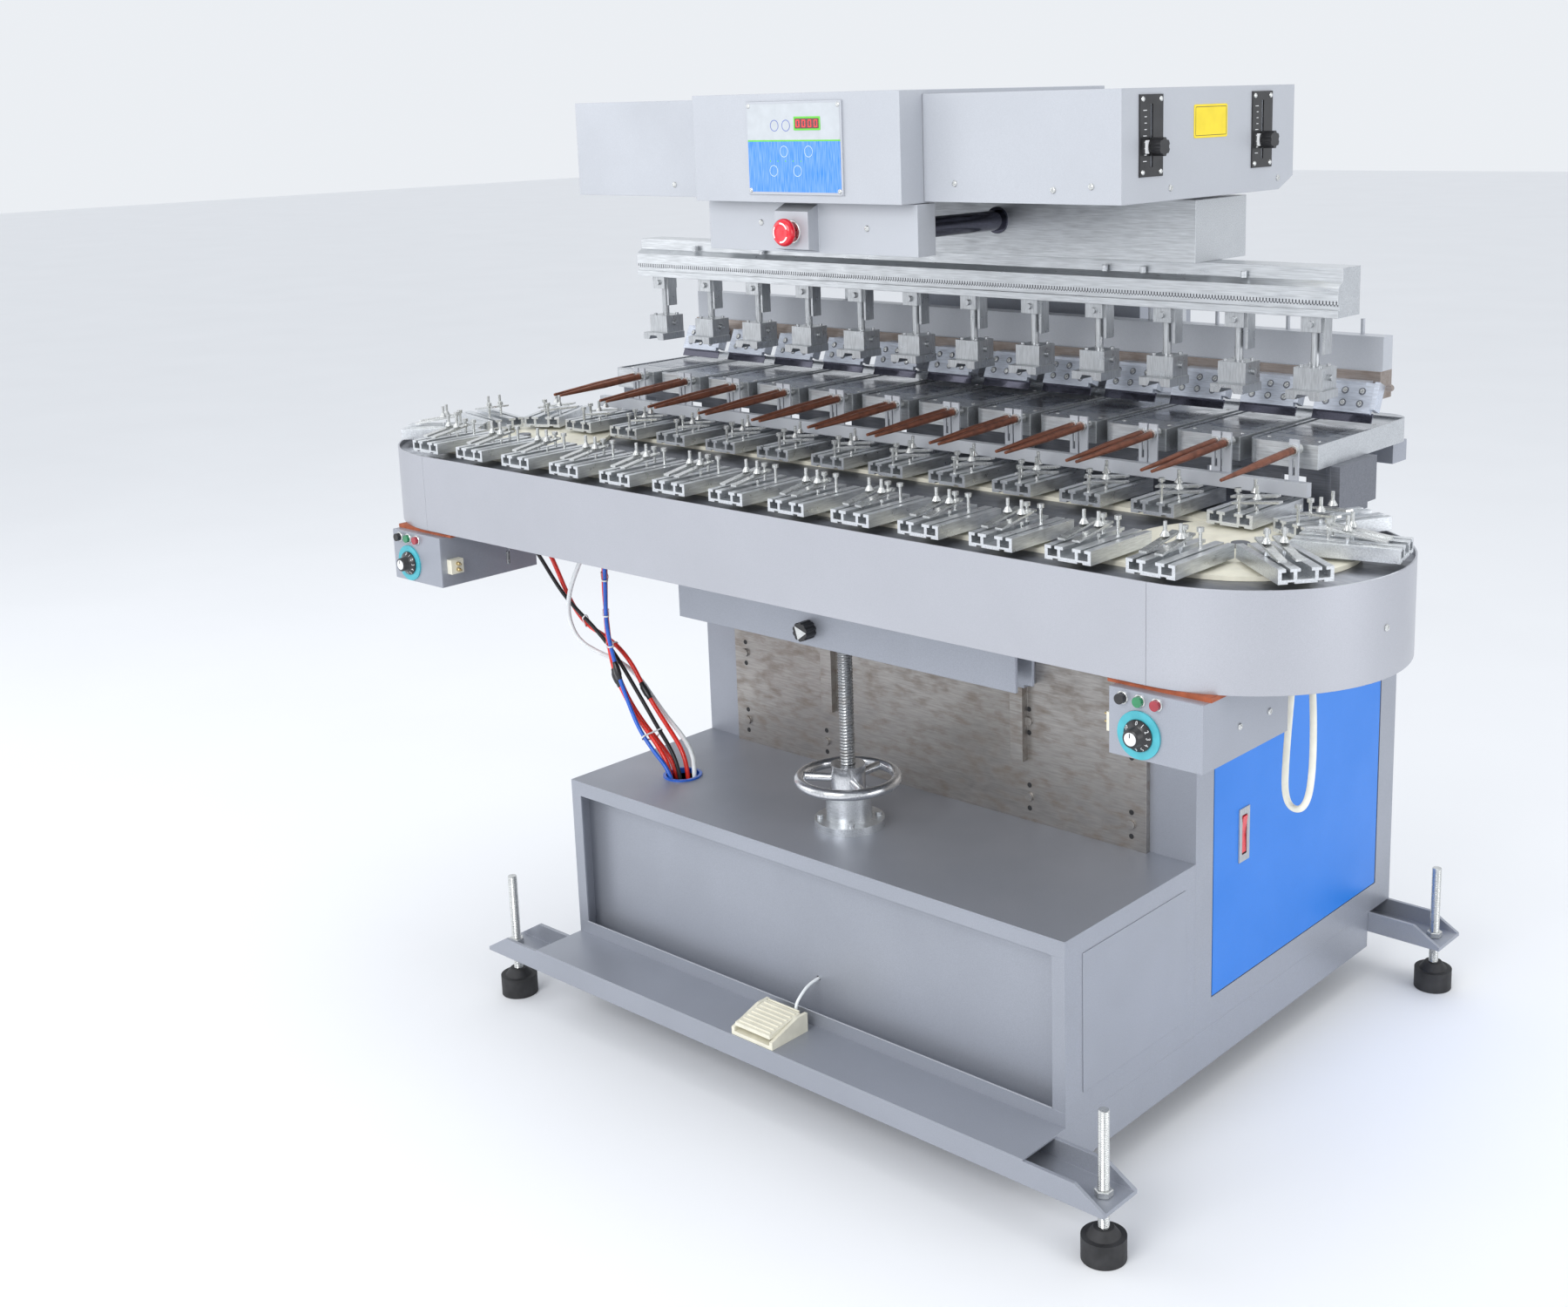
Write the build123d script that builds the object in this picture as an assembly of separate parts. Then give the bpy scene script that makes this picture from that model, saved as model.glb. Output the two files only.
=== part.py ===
from build123d import *
import math
import os

# Twelve-station pneumatic pad printer with an oval fixture carousel.
# Millimetres. X runs along the machine to the right, Y to the rear, Z up.
# Everything is laid out from the floor, from the middle of the machine's
# width and from the front edge of the base; the last step moves the origin
# to the middle of the footprint.

os.makedirs("parts", exist_ok=True)

# Driving dimensions: stations and carousel
station_pitch = 118.0
station_count = 12
end_turn_pitches = 3.5
fixture_width = 68.0
fixture_length = 133.0
fixture_outer_radius = 205.0
fixture_base_height = 954.0
fixture_height = 18.0
fixture_base_thickness = 5.0
fixture_wall = 4.5
carousel_middle_y = 201.0
skirt_radius = 213.0
skirt_thickness = 2.5
fixture_above_lip = 5.0
skirt_height = 126.0
deck_thickness = 5.0
deck_below_lip = 6.0
pan_thickness = 4.0
wheel_radius = 149.0
wheel_thickness = 5.8
wheel_axle_radius = 12.0
strip_inner_radius = 110.0

# Driving dimensions: base, cabinets and slide
cabinet_width = 1020.0
cabinet_depth = 1067.0
base_top = 122.0
base_sheet = 3.0
sheet = 3.0
panel_gap = 0.5
lower_cabinet_front = 98.0
lower_cabinet_top = 397.0
rear_cabinet_front = 428.0
rear_cabinet_top = 711.0
outrigger_length = 1280.0
outrigger_width = 78.0
outrigger_height = 34.0
foot_spacing_x = 1227.0
foot_radius = 31.0
foot_height = 34.0
foot_rod_radius = 8.0
foot_rod_length = 194.0
slide_plate_width = 860.0
slide_plate_thickness = 10.0
guide_rail_spacing = 400.0
guide_rail_width = 24.0
guide_rail_depth = 14.0

# Driving dimensions: height screw and handwheel
screw_y = 235.0
screw_radius = 12.0
handwheel_radius = 85.0
handwheel_height = 474.0
handwheel_rim = 8.5
channel_length = 690.0
channel_depth = 44.0
channel_height = 139.0

# Driving dimensions: printing head
block_width = 958.0
block_front = 459.0
block_rear = 595.0
block_above_tray = 260.0
block_height = 87.0
beam_width = 1386.0
beam_front = 469.0
beam_depth = 62.0
beam_height = 66.0
pad_rod_radius = 6.0
pad_axis_y = 493.0
pad_holder_reach = 69.7
guide_rod_radius = 15.0
guide_rod_spacing = 268.0
guide_rod_above_block = 52.0
head_travel = 153.0
beam_drop = 40.0
ink_bar_width = 1380.0
ink_bar_front = 612.0
ink_bar_depth = 28.0
ink_bar_above_tray = 66.0
ink_bar_height = 87.0
tray_width = 108.0
tray_front = 406.0
tray_rear = 688.0
tray_above_rail = 32.0
tray_height = 33.0
tray_wall = 4.0
tray_beam_front = 442.0
tray_beam_depth = 110.0
tray_beam_height = 77.0
nozzle_rail_y = 374.0
nozzle_rail_above_fixture = 8.0
nozzle_rail_height = 19.0
nozzle_tube_rise = 60.0

# Driving dimensions: covers and controls
cover_front = 206.0
cover_rear = 643.0
cover_inner = 202.0
cover_outer = 526.0
cover_above_block = 95.0
cover_height = 145.0
cover_sheet = 2.0
heater_inner = 663.0
heater_width = 130.0
heater_front = -22.0
heater_depth = 197.0
guard_sheet_thickness = 6.0
heater_height = 84.0
dial_radius = 20.0
dial_ring_radius = 30.0

# Driving dimensions: places of the small parts
fixture_foot_height = 4.7
fixture_foot_width = 34.0
column_front = 700.0
estop_box_front = 187.0
estop_below_cover = 44.0
panel_front = 158.0
slider_spots = (272.0, 552.0)
slider_above_bottom = 85.0
grommet_x = -372.0
grommet_y = 226.0
grommet_radius = 30.0
door_front = 478.0
door_rear_margin = 59.0
door_bottom = 168.0
door_top = 680.0
door_thickness = 3.0
door_pin_radius = 2.5
switch_y = 564.0
switch_z = 401.0
pedal_x = 0.0
pedal_width = 86.0
pedal_front = 2.0
pedal_rear = 80.0
pedal_cable_x = 21.0
pedal_cable_z = 183.0
knob_x = -52.0
knob_above_channel = 27.0
knob_stud_radius = 5.0
dial_below_top = 53.0
lamp_below_top = 11.0
lamp_offsets = (-46.0, -22.0, 2.0)
beam_pin_spots = (-410.0, -220.0, 220.0, 410.0)
switch_half_width = 15.0
switch_half_height = 43.0
rocker_half = 30.0

# Named clearances
running_gap = 0.05
sliding_gap = 0.3
rest_gap = 0.3

# Sizes worked out from the driving dimensions
arc_radius = end_turn_pitches * station_pitch / math.pi
straight_half = station_count * station_pitch / 2
skirt_top = fixture_base_height - fixture_above_lip
skirt_bottom = skirt_top - skirt_height
heater_top = skirt_bottom - guard_sheet_thickness
dial_z = heater_top - dial_below_top
lamp_z = heater_top - lamp_below_top
channel_bottom = skirt_bottom - channel_height
knob_z = channel_bottom + knob_above_channel
front_foot_y = outrigger_width / 2
rear_foot_y = cabinet_depth - outrigger_width / 2
door_rear = cabinet_depth - door_rear_margin
nozzle_rail_bottom = fixture_base_height + fixture_height + nozzle_rail_above_fixture
nozzle_tube_height = nozzle_rail_bottom + nozzle_tube_rise
tray_bottom = nozzle_rail_bottom + tray_above_rail
ink_bar_bottom = tray_bottom + ink_bar_above_tray
block_bottom = tray_bottom + block_above_tray
guide_rod_height = block_bottom + guide_rod_above_block
cover_bottom = block_bottom + cover_above_block
estop_z = cover_bottom - estop_below_cover
slider_mid = cover_bottom + slider_above_bottom
deck_top = skirt_top - deck_below_lip
fixture_inner_radius = fixture_outer_radius - fixture_length
cabinet_half = cabinet_width / 2
door_pin_x = cabinet_half - 6.0
door_pin_y = door_rear - 6.0
beam_bottom = block_bottom - rest_gap - beam_height
pad_holder_top = beam_bottom - pad_holder_reach
stations = [(i - (station_count - 1) / 2) * station_pitch for i in range(station_count)]

nodes = {}


def brick(x0, x1, y0, y1, z0, z1):
    """Box between two values on each axis."""
    middle = Pos((x0 + x1) / 2, (y0 + y1) / 2, (z0 + z1) / 2)
    return middle * Box(abs(x1 - x0), abs(y1 - y0), abs(z1 - z0))


def rod_z(x, y, z0, z1, radius):
    """Upright cylinder."""
    return Pos(x, y, (z0 + z1) / 2) * Cylinder(radius, abs(z1 - z0))


def rod_y(x, z, y0, y1, radius):
    """Cylinder that runs front to back."""
    return Pos(x, (y0 + y1) / 2, z) * Rot(90, 0, 0) * Cylinder(radius, abs(y1 - y0))


def rod_x(y, z, x0, x1, radius):
    """Cylinder that runs along the machine."""
    return Pos((x0 + x1) / 2, y, z) * Rot(0, 90, 0) * Cylinder(radius, abs(x1 - x0))


def stadium(half_length, radius, z0, z1):
    """Oval slab: a straight middle with a half disc at each end."""
    middle = carousel_middle_y
    slab = brick(-half_length, half_length, middle - radius, middle + radius, z0, z1)
    for side in (-1, 1):
        slab += rod_z(side * half_length, middle, z0, z1, radius)
    return slab


def side_profile(points, x0, x1):
    """Outline in the Y-Z plane carried from x0 to x1."""
    outline = Polyline(*[(x0, y, z) for y, z in points], close=True)
    return extrude(make_face(outline), amount=x1 - x0, dir=(1, 0, 0))


def front_profile(points, y0, y1):
    """Outline in the X-Z plane carried from y0 to y1."""
    outline = Polyline(*[(x, y0, z) for x, z in points], close=True)
    return extrude(make_face(outline), amount=y1 - y0, dir=(0, 1, 0))


def mirrored(shape):
    """The same piece on the left side."""
    return mirror(shape, about=Plane.YZ)


def keep(name, *shapes):
    """Add solids to the node of that name."""
    solids = []
    for shape in shapes:
        solids.extend(shape.solids())
    nodes.setdefault(name, []).extend(solids)


def tube(points, radius, least_ratio=5.0):
    """Cord along straight runs joined by arcs as large as the runs allow."""
    radii = []
    for before, corner, after in zip(points, points[1:], points[2:]):
        into = Vector(*corner) - Vector(*before)
        out = Vector(*after) - Vector(*corner)
        half_turn = math.radians(into.get_angle(out)) / 2
        radii.append(0.45 * min(into.length, out.length) / math.tan(half_turn))
    path = FilletPolyline(*points, radius=radii)
    start = Plane(origin=path @ 0, z_dir=path % 0)
    body = sweep(start * Circle(radius), path=path)
    expected = math.pi * radius ** 2 * path.length
    print("cord radii", [round(r) for r in radii], "least allowed", round(least_ratio * 2 * radius),
          "length", round(path.length), "volume share", round(body.volume / expected, 4))
    return body


def make_base():
    """Sheet base with two outriggers and four levelling feet."""
    under = base_top - base_sheet
    plate = brick(-cabinet_half, cabinet_half, 0, cabinet_depth, under, base_top)
    keep("base_plate_and_skirts", plate)
    skirt_low = under - 62
    inner_front = front_foot_y + outrigger_width / 2 + panel_gap
    inner_rear = rear_foot_y - outrigger_width / 2 - panel_gap
    side = brick(cabinet_half - sheet, cabinet_half, inner_front, inner_rear, skirt_low, under)
    cross_front = brick(-cabinet_half + sheet, cabinet_half - sheet, inner_front, inner_front + sheet,
                        skirt_low, under)
    cross_rear = brick(-cabinet_half + sheet, cabinet_half - sheet, inner_rear - sheet, inner_rear,
                       skirt_low, under)
    keep("base_plate_and_skirts", side, mirrored(side))
    keep("base_plate_and_skirts", cross_front, cross_rear)
    web_low = under - outrigger_height
    half = outrigger_length / 2
    plate_thickness = 6.0
    cut = outrigger_height - plate_thickness
    for centre in (front_foot_y, rear_foot_y):
        low = centre - outrigger_width / 2
        high = centre + outrigger_width / 2
        web = brick(-half, half, low, high, web_low, web_low + plate_thickness)
        ends = [(-half, web_low), (half, web_low), (half, web_low + plate_thickness),
                (half - cut * 1.7, under), (-half + cut * 1.7, under), (-half, web_low + plate_thickness)]
        channel = web + front_profile(ends, low, low + plate_thickness)
        channel += front_profile(ends, high - plate_thickness, high)
        for side_sign in (-1, 1):
            channel -= rod_z(side_sign * foot_spacing_x / 2, centre, web_low - 1,
                             web_low + plate_thickness + 1, foot_rod_radius + running_gap)
        keep("outriggers", channel)
    rods, nuts, feet = [], [], []
    nut_height = 10.0
    nut_radius = 13.0
    for x in (-foot_spacing_x / 2, foot_spacing_x / 2):
        for y in (front_foot_y, rear_foot_y):
            rod_low = foot_height - 12
            rods.append(rod_z(x, y, rod_low, rod_low + foot_rod_length, foot_rod_radius))
            puck = rod_z(x, y, 0, foot_height, foot_radius)
            neck = Pos(x, y, foot_height + 6) * Cone(foot_radius * 0.75, foot_radius * 0.45, 12)
            socket = rod_z(x, y, rod_low, foot_height + 13, foot_rod_radius + running_gap)
            feet.append(puck + neck - socket)
            for low in (web_low - nut_height, web_low + plate_thickness):
                blank = Pos(x, y, low) * extrude(RegularPolygon(nut_radius, 6), amount=nut_height)
                nuts.append(blank - rod_z(x, y, low - 1, low + nut_height + 1, foot_rod_radius + running_gap))
    keep("levelling_screws", *rods)
    keep("levelling_screws", *nuts)
    keep("rubber_feet", *feet)


def make_lower_cabinet():
    """Low front cabinet with a recessed panel, cable grommet and pedal."""
    top = lower_cabinet_top
    rear = rear_cabinet_front
    side = brick(cabinet_half - sheet, cabinet_half, lower_cabinet_front + sheet, rear, base_top, top - sheet)
    keep("lower_cabinet_panels", side, mirrored(side))
    lid = brick(-cabinet_half, cabinet_half, lower_cabinet_front, rear, top - sheet, top)
    lid -= rod_z(0, screw_y, top - 10, top + 10, screw_radius + 6)
    lid -= rod_z(grommet_x, grommet_y, top - 10, top + 10, grommet_radius)
    keep("lower_cabinet_panels", lid)
    border = 22.0
    left = -cabinet_half
    right = cabinet_half
    front = lower_cabinet_front
    rail_low = brick(left, right, front, front + sheet, base_top, base_top + border)
    rail_high = brick(left, right, front, front + sheet, top - sheet - border, top - sheet)
    keep("lower_cabinet_panels", rail_low, rail_high)
    stile = brick(right - border, right, front, front + sheet, base_top + border, top - sheet - border)
    keep("lower_cabinet_panels", stile, mirrored(stile))
    depth = 32.0
    panel = brick(left + sheet, right - sheet, front + depth, front + depth + sheet, base_top, top - sheet)
    panel -= rod_y(pedal_cable_x, pedal_cable_z, front + depth - 1, front + depth + sheet + 1, 4)
    keep("lower_cabinet_panels", panel)
    ring = rod_z(grommet_x, grommet_y, top - sheet - 3, top + 3, grommet_radius + 3)
    ring -= rod_z(grommet_x, grommet_y, top - 9, top + 9, grommet_radius - 2)
    lid_band = rod_z(grommet_x, grommet_y, top - sheet, top, grommet_radius + 4)
    ring -= lid_band - rod_z(grommet_x, grommet_y, top - sheet, top, grommet_radius)
    keep("lower_cabinet_panels", ring)


def make_pedal():
    """Foot pedal on the base: a housing and a sprung ribbed tread."""
    x0 = pedal_x - pedal_width / 2
    x1 = pedal_x + pedal_width / 2
    low = base_top
    floor = brick(x0, x1, pedal_front, pedal_rear, low, low + 6)
    for x in (x0, x1 - 6):
        floor += side_profile([(pedal_front, low + 6), (pedal_rear, low + 6), (pedal_rear, low + 30),
                               (pedal_rear - 22, low + 30), (pedal_front, low + 12)], x, x + 6)
    floor += brick(pedal_cable_x - 8, pedal_cable_x + 8, pedal_rear - 6, pedal_rear, low + 6, low + 20)
    pivot_y = pedal_rear - 16
    pivot_z = low + 22
    floor -= rod_x(pivot_y, pivot_z, x0 - 1, x1 + 1, 4 + running_gap)
    keep("pedal_housing", floor)
    keep("pedal_housing", rod_x(pivot_y, pivot_z, x0, x1, 4))
    a = x0 + 6 + panel_gap
    b = x1 - 6 - panel_gap
    tread = side_profile([(pedal_front + 2, low + 21), (pivot_y + 7, low + 31), (pivot_y + 7, low + 15),
                          (pivot_y - 7, low + 15), (pedal_front + 2, low + 15)], a, b)
    rib_pitch = 9.0
    slope = 10.0 / (pivot_y + 5 - pedal_front)
    for i in range(8):
        y = pedal_front + 8 + i * rib_pitch
        tread += rod_x(y, low + 21 + (y - pedal_front) * slope, a + 4, b - 4, 1.6)
    tread -= rod_x(pivot_y, pivot_z, x0 - 1, x1 + 1, 4 + running_gap)
    keep("pedal_tread", tread)


def make_rear_cabinet():
    """Tall rear cabinet with the blue door, its hinge pin and the switch."""
    low = base_top
    top = rear_cabinet_top
    front = rear_cabinet_front
    rear = cabinet_depth
    x = cabinet_half
    front_panel = brick(-x, x, front, front + sheet, low, top - sheet)
    keep("rear_cabinet_panels", front_panel)
    back = brick(-x + sheet, x - sheet, rear - sheet, rear, low, top - sheet)
    louvre_rows = 8
    for i in range(louvre_rows):
        z = low + 360 + i * 16
        back -= brick(-120, 120, rear - sheet - 1, rear + 1, z, z + 4)
    keep("rear_cabinet_panels", back)
    keep("rear_cabinet_panels", brick(-x, x, front, rear, top - sheet, top))
    left = brick(-x, -x + sheet, front + sheet, rear, low, top - sheet)
    keep("rear_cabinet_panels", left)
    edge = 2.0
    front_post = brick(x - 30, x, front + sheet, door_front - edge, low, top - sheet)
    hinge_edge = 4.0
    rear_post = brick(x - 30, x, door_rear + hinge_edge, rear, low, top - sheet)
    sill = brick(x - 30, x, door_front - edge, door_rear + hinge_edge, low, door_bottom - edge)
    head = brick(x - 30, x, door_front - edge, door_rear + hinge_edge, door_top + edge, top - sheet)
    back_slot = brick(x - 31, x - sheet + 0.01, rear - sheet - 0.01, rear + 1, low - 1, top)
    rear_post -= back_slot
    bore = rod_z(door_pin_x, door_pin_y, door_bottom - 30, door_top + 30, door_pin_radius + running_gap)
    keep("rear_cabinet_panels", front_post, rear_post)
    keep("rear_cabinet_panels", sill - bore, head - bore)
    keep("rear_cabinet_panels", rod_z(door_pin_x, door_pin_y, door_bottom - 14, door_top + 14, door_pin_radius))
    door = brick(x - door_thickness, x, door_front, door_rear, door_bottom, door_top)
    knuckle = rod_z(door_pin_x, door_pin_y, door_bottom, door_top, 5.0)
    door = door + knuckle
    door -= rod_z(door_pin_x, door_pin_y, door_bottom - 1, door_top + 1, door_pin_radius + running_gap)
    y0 = switch_y - switch_half_width
    y1 = switch_y + switch_half_width
    z0 = switch_z - switch_half_height
    z1 = switch_z + switch_half_height
    well = brick(x - 30, x + 1, y0 + 4, y1 - 4, z0 + 6, z1 - 6)
    keep("blue_side_door", door - well)
    frame = brick(x - 16, x, y0 + 4, y1 - 4, z0 + 6, z1 - 6)
    frame += brick(x, x + 2, y0, y1, z0, z1)
    frame -= brick(x - 12, x + 3, y0 + 8, y1 - 8, z0 + 11, z1 - 11)
    frame -= rod_y(x - 6, switch_z, y0 + 5.5, y1 - 5.5, 2 + running_gap)
    profile = [(x - 9, -8), (x - 4, -rocker_half), (x + 0.5, -rocker_half), (x - 0.5, 0),
               (x + 3.5, rocker_half), (x - 4, rocker_half), (x - 9, 8)]
    keep("blue_side_door", frame)
    rocker = Pos(0, 0, switch_z) * front_profile(profile, y0 + 8.5, y1 - 8.5)
    rocker += rod_y(x - 6, switch_z, y0 + 6, y1 - 6, 2)
    keep("switch_rocker", rocker)


def make_slide():
    """Ground slide plate and the two upright rails that guide the carousel."""
    rear = rear_cabinet_front
    front = rear - slide_plate_thickness
    half = slide_plate_width / 2
    plate = brick(-half, half, front, rear, lower_cabinet_top, rear_cabinet_top)
    keep("slide_plate", plate)
    rails = []
    for x in (-guide_rail_spacing / 2, guide_rail_spacing / 2):
        rails.append(brick(x - guide_rail_width / 2, x + guide_rail_width / 2, front - guide_rail_depth,
                           front, lower_cabinet_top + 100, rear_cabinet_top))
    keep("slide_plate", *rails)
    shoes, arms = [], []
    shoe_low = channel_bottom - 60
    arm_front = screw_y + channel_depth / 2
    shoe_front = front - guide_rail_depth - 16
    for x in (-guide_rail_spacing / 2, guide_rail_spacing / 2):
        outer = guide_rail_width / 2 + 16
        shoe = brick(x - outer, x + outer, shoe_front, front - sliding_gap, shoe_low, skirt_bottom)
        groove = guide_rail_width / 2 + sliding_gap
        shoe -= brick(x - groove, x + groove, front - guide_rail_depth - sliding_gap, front + 1,
                      shoe_low - 1, skirt_bottom + 1)
        shoes.append(shoe)
        arms.append(brick(x - 10, x + 10, arm_front, shoe_front, channel_bottom, skirt_bottom))
    keep("lift_channel", *shoes)
    keep("lift_channel", *arms)
    screws = []
    for x in (-half + 26, -half / 2, half / 2, half - 26):
        for z in (lower_cabinet_top + 40, rear_cabinet_top - 150):
            screws.append(rod_y(x, z, front - 4, front, 7))
    keep("slide_plate", *screws)


def make_lift():
    """Height screw, its flange bearing and the handwheel that is its nut."""
    half = channel_length / 2
    y0 = screw_y - channel_depth / 2
    y1 = screw_y + channel_depth / 2
    wall = 5.0
    front_web = brick(-half, half, y0, y0 + wall, channel_bottom, skirt_bottom)
    front_web -= rod_y(knob_x, knob_z, y0 - 1, y0 + wall + 1, knob_stud_radius + running_gap)
    keep("lift_channel", front_web)
    keep("lift_channel", brick(-half, half, y1 - wall, y1, channel_bottom, skirt_bottom))
    keep("lift_channel", brick(-60, 60, y0 + wall, y1 - wall, channel_bottom + 30, skirt_bottom))
    screw_top = channel_bottom + 30
    keep("height_screw", rod_z(0, screw_y, base_top + 60, screw_top, screw_radius))
    top = lower_cabinet_top
    column_top = handwheel_height - 22
    flange = rod_z(0, screw_y, top, top + 13, 55)
    flange += rod_z(0, screw_y, top + 13, column_top, 36)
    flange -= rod_z(0, screw_y, top - 1, column_top + 1, screw_radius + 4)
    keep("bearing_flange", flange)
    bolts = []
    for angle in (45, 135, 225, 315):
        dx = 46 * math.cos(math.radians(angle))
        dy = 46 * math.sin(math.radians(angle))
        bolts.append(rod_z(dx, screw_y + dy, top + 13, top + 19, 5))
    keep("bearing_flange", *bolts)
    hub_low = column_top + rest_gap
    rim = Pos(0, screw_y, handwheel_height) * Torus(handwheel_radius - handwheel_rim, handwheel_rim)
    hub = rod_z(0, screw_y, hub_low, handwheel_height + 24, 27)
    wheel = rim + hub
    spoke_reach = handwheel_radius - handwheel_rim
    for angle in (90, 210, 330):
        spoke = Pos(spoke_reach / 2, 0, 0) * Rot(0, 90, 0) * Cylinder(7, spoke_reach)
        wheel += Pos(0, screw_y, handwheel_height) * Rot(0, 0, angle) * spoke
    wheel -= rod_z(0, screw_y, hub_low - 1, handwheel_height + 40, screw_radius + running_gap)
    keep("handwheel", wheel)
    knob = rod_y(knob_x, knob_z, y0 - 22, y0 - rest_gap, 15)
    for i in range(10):
        angle = 2 * math.pi * i / 10
        knob -= rod_y(knob_x + 16.5 * math.cos(angle), knob_z + 16.5 * math.sin(angle), y0 - 23, y0, 3)
    knob += rod_y(knob_x, knob_z, y0 - rest_gap - 1, y0 + wall - 0.5, knob_stud_radius)
    keep("lock_knob", knob)


def make_carousel_frame():
    """Skirts, pan, deck, wear strips and axles of the oval carousel."""
    middle = carousel_middle_y
    inner = skirt_radius - skirt_thickness
    seam = 0.4
    reach = straight_half - seam
    front = brick(-reach, reach, middle - skirt_radius, middle - inner, skirt_bottom, skirt_top)
    back = brick(-reach, reach, middle + inner, middle + skirt_radius, skirt_bottom, skirt_top)
    keep("straight_skirts", front)
    keep("straight_skirts", back)
    right = rod_z(straight_half, middle, skirt_bottom, skirt_top, skirt_radius)
    right -= rod_z(straight_half, middle, skirt_bottom - 1, skirt_top + 1, inner)
    right -= brick(0, straight_half, middle - 300, middle + 300, skirt_bottom - 1, skirt_top + 1)
    keep("end_skirts", right)
    keep("end_skirts", mirrored(right))
    pan = stadium(straight_half, inner, skirt_bottom, skirt_bottom + pan_thickness)
    deck = stadium(straight_half, inner, deck_top - deck_thickness, deck_top)
    for x in (-straight_half, straight_half):
        deck -= rod_z(x, middle, deck_top - 20, deck_top + 1, wheel_axle_radius + running_gap)
    pan -= brick(-606, -498, 196, 250, skirt_bottom - 1, skirt_bottom + pan_thickness + 1)
    keep("carousel_pan", pan)
    keep("carousel_deck", deck)
    posts = []
    for x in (-straight_half / 2, 0, straight_half / 2):
        for y in (middle - 90, middle + 90):
            posts.append(rod_z(x, y, skirt_bottom + pan_thickness, deck_top - deck_thickness, 14))
    keep("carousel_pan", *posts)
    strips = []
    strip_top = fixture_base_height - fixture_foot_height - rest_gap
    for y in (-1, 1):
        strip = brick(-straight_half, straight_half, middle + y * strip_inner_radius,
                      middle + y * wheel_radius, deck_top, strip_top)
        for x in (-straight_half, straight_half):
            strip -= rod_z(x, middle, deck_top - 1, strip_top + 1, wheel_radius + sliding_gap)
        strips.append(strip)
    keep("chain_strips", *strips)
    axles = []
    for x in (-straight_half, straight_half):
        axle = rod_z(x, middle, skirt_bottom + pan_thickness, strip_top + 6, wheel_axle_radius)
        axles.append(axle)
    keep("carousel_pan", *axles)


def fixture_plate():
    """T-slot plate at the origin, its outer end towards -Y, underside at zero."""
    w = fixture_width / 2
    h = fixture_height
    b = fixture_base_thickness
    t = fixture_wall
    lip = 4.0
    top = h - lip
    rib = 13.0
    points = [(-w, 0), (w, 0), (w, h), (w - t - 5, h), (w - t - 5, top), (w - t, top), (w - t, b)]
    for side in (1, -1):
        x = side * rib
        cap = t / 2 + 4
        points += [(x + t / 2, b), (x + t / 2, top), (x + cap, top), (x + cap, h), (x - cap, h),
                   (x - cap, top), (x - t / 2, top), (x - t / 2, b)]
    points += [(-w + t, b), (-w + t, top), (-w + t + 5, top), (-w + t + 5, h), (-w, h)]
    plate = front_profile(points, -fixture_outer_radius, -fixture_inner_radius)
    slot = 8.0
    for x in (-rib - 5, rib + 5):
        plate -= brick(x - slot / 2, x + slot / 2, -fixture_outer_radius - 1, -fixture_inner_radius + 1, -1, 2.2)
    foot = brick(-fixture_foot_width / 2, fixture_foot_width / 2, -wheel_radius + 3,
                 -strip_inner_radius - 3, -fixture_foot_height, 0.5)
    return plate + foot


def clamp_set(strap_spots, along):
    """Clamp straps with their cone-nut bolts and round-headed posts."""
    pieces = []
    strap_middle = fixture_height + 10.5
    for x, y in strap_spots:
        strap = Box(11, 74, 3) if along else Box(70, 11, 3)
        tilt = Rot(9, 0, 0) if along else Rot(0, 7, 0)
        offset = 12 if along else 0
        pieces.append(Pos(x, y - offset, strap_middle) * tilt * strap)
        nut_base = strap_middle + 5
        pieces.append(rod_z(x, y, nut_base, nut_base + 18, 2.4)
                      + Pos(x, y, nut_base + 3.2) * Cone(6.4, 3.0, 6.4))
        pieces.append(rod_z(x, y, fixture_base_thickness, strap_middle - 5, 2.4))
        post_top = fixture_height + 20
        pieces.append(rod_z(x + 11, y + 26, fixture_height, post_top, 2.2)
                      + rod_z(x + 11, y + 26, post_top, post_top + 5, 4.6))
    return pieces


def place(shapes, centre_x, angle):
    """Turn a fixture about an end centre and lift it to its height."""
    where = Pos(centre_x, carousel_middle_y, fixture_base_height) * Rot(0, 0, angle)
    return [where * shape for shape in shapes]


def make_fixtures():
    """Fixtures on the two straights and on the two end wheels."""
    plate = [fixture_plate()]
    slot_x = 21.9
    lengthwise = clamp_set([(-slot_x, -139), (0, -139)], True)
    crosswise = clamp_set([(0, -138), (-slot_x, -104)], False)
    turn = 180.0 / end_turn_pitches
    half = station_count // 2
    groups = {
        "front_row": [(i * station_pitch, 0) for i in range(-half, half)],
        "back_row": [(x, 180) for x in stations],
        "right_wheel": [(straight_half, i * turn) for i in range(4)],
        "left_wheel": [(-straight_half, 180 + (i + 0.5) * turn) for i in range(3)],
    }
    for group, spots in groups.items():
        for x, angle in spots:
            clamps = crosswise if abs(angle - 180) < turn else lengthwise
            keep(group + "_fixtures", *place(plate, x, angle))
            keep(group + ("_clamps" if "row" in group else "_fixtures"), *place(clamps, x, angle))
    low = deck_top + rest_gap
    high = fixture_base_height - fixture_foot_height
    for name, x in (("right_end_wheel", straight_half), ("left_end_wheel", -straight_half)):
        disc = rod_z(x, carousel_middle_y, low, high, wheel_radius)
        disc -= rod_z(x, carousel_middle_y, low - 1, high + 1, wheel_axle_radius + running_gap)
        keep(name, disc)


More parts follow.
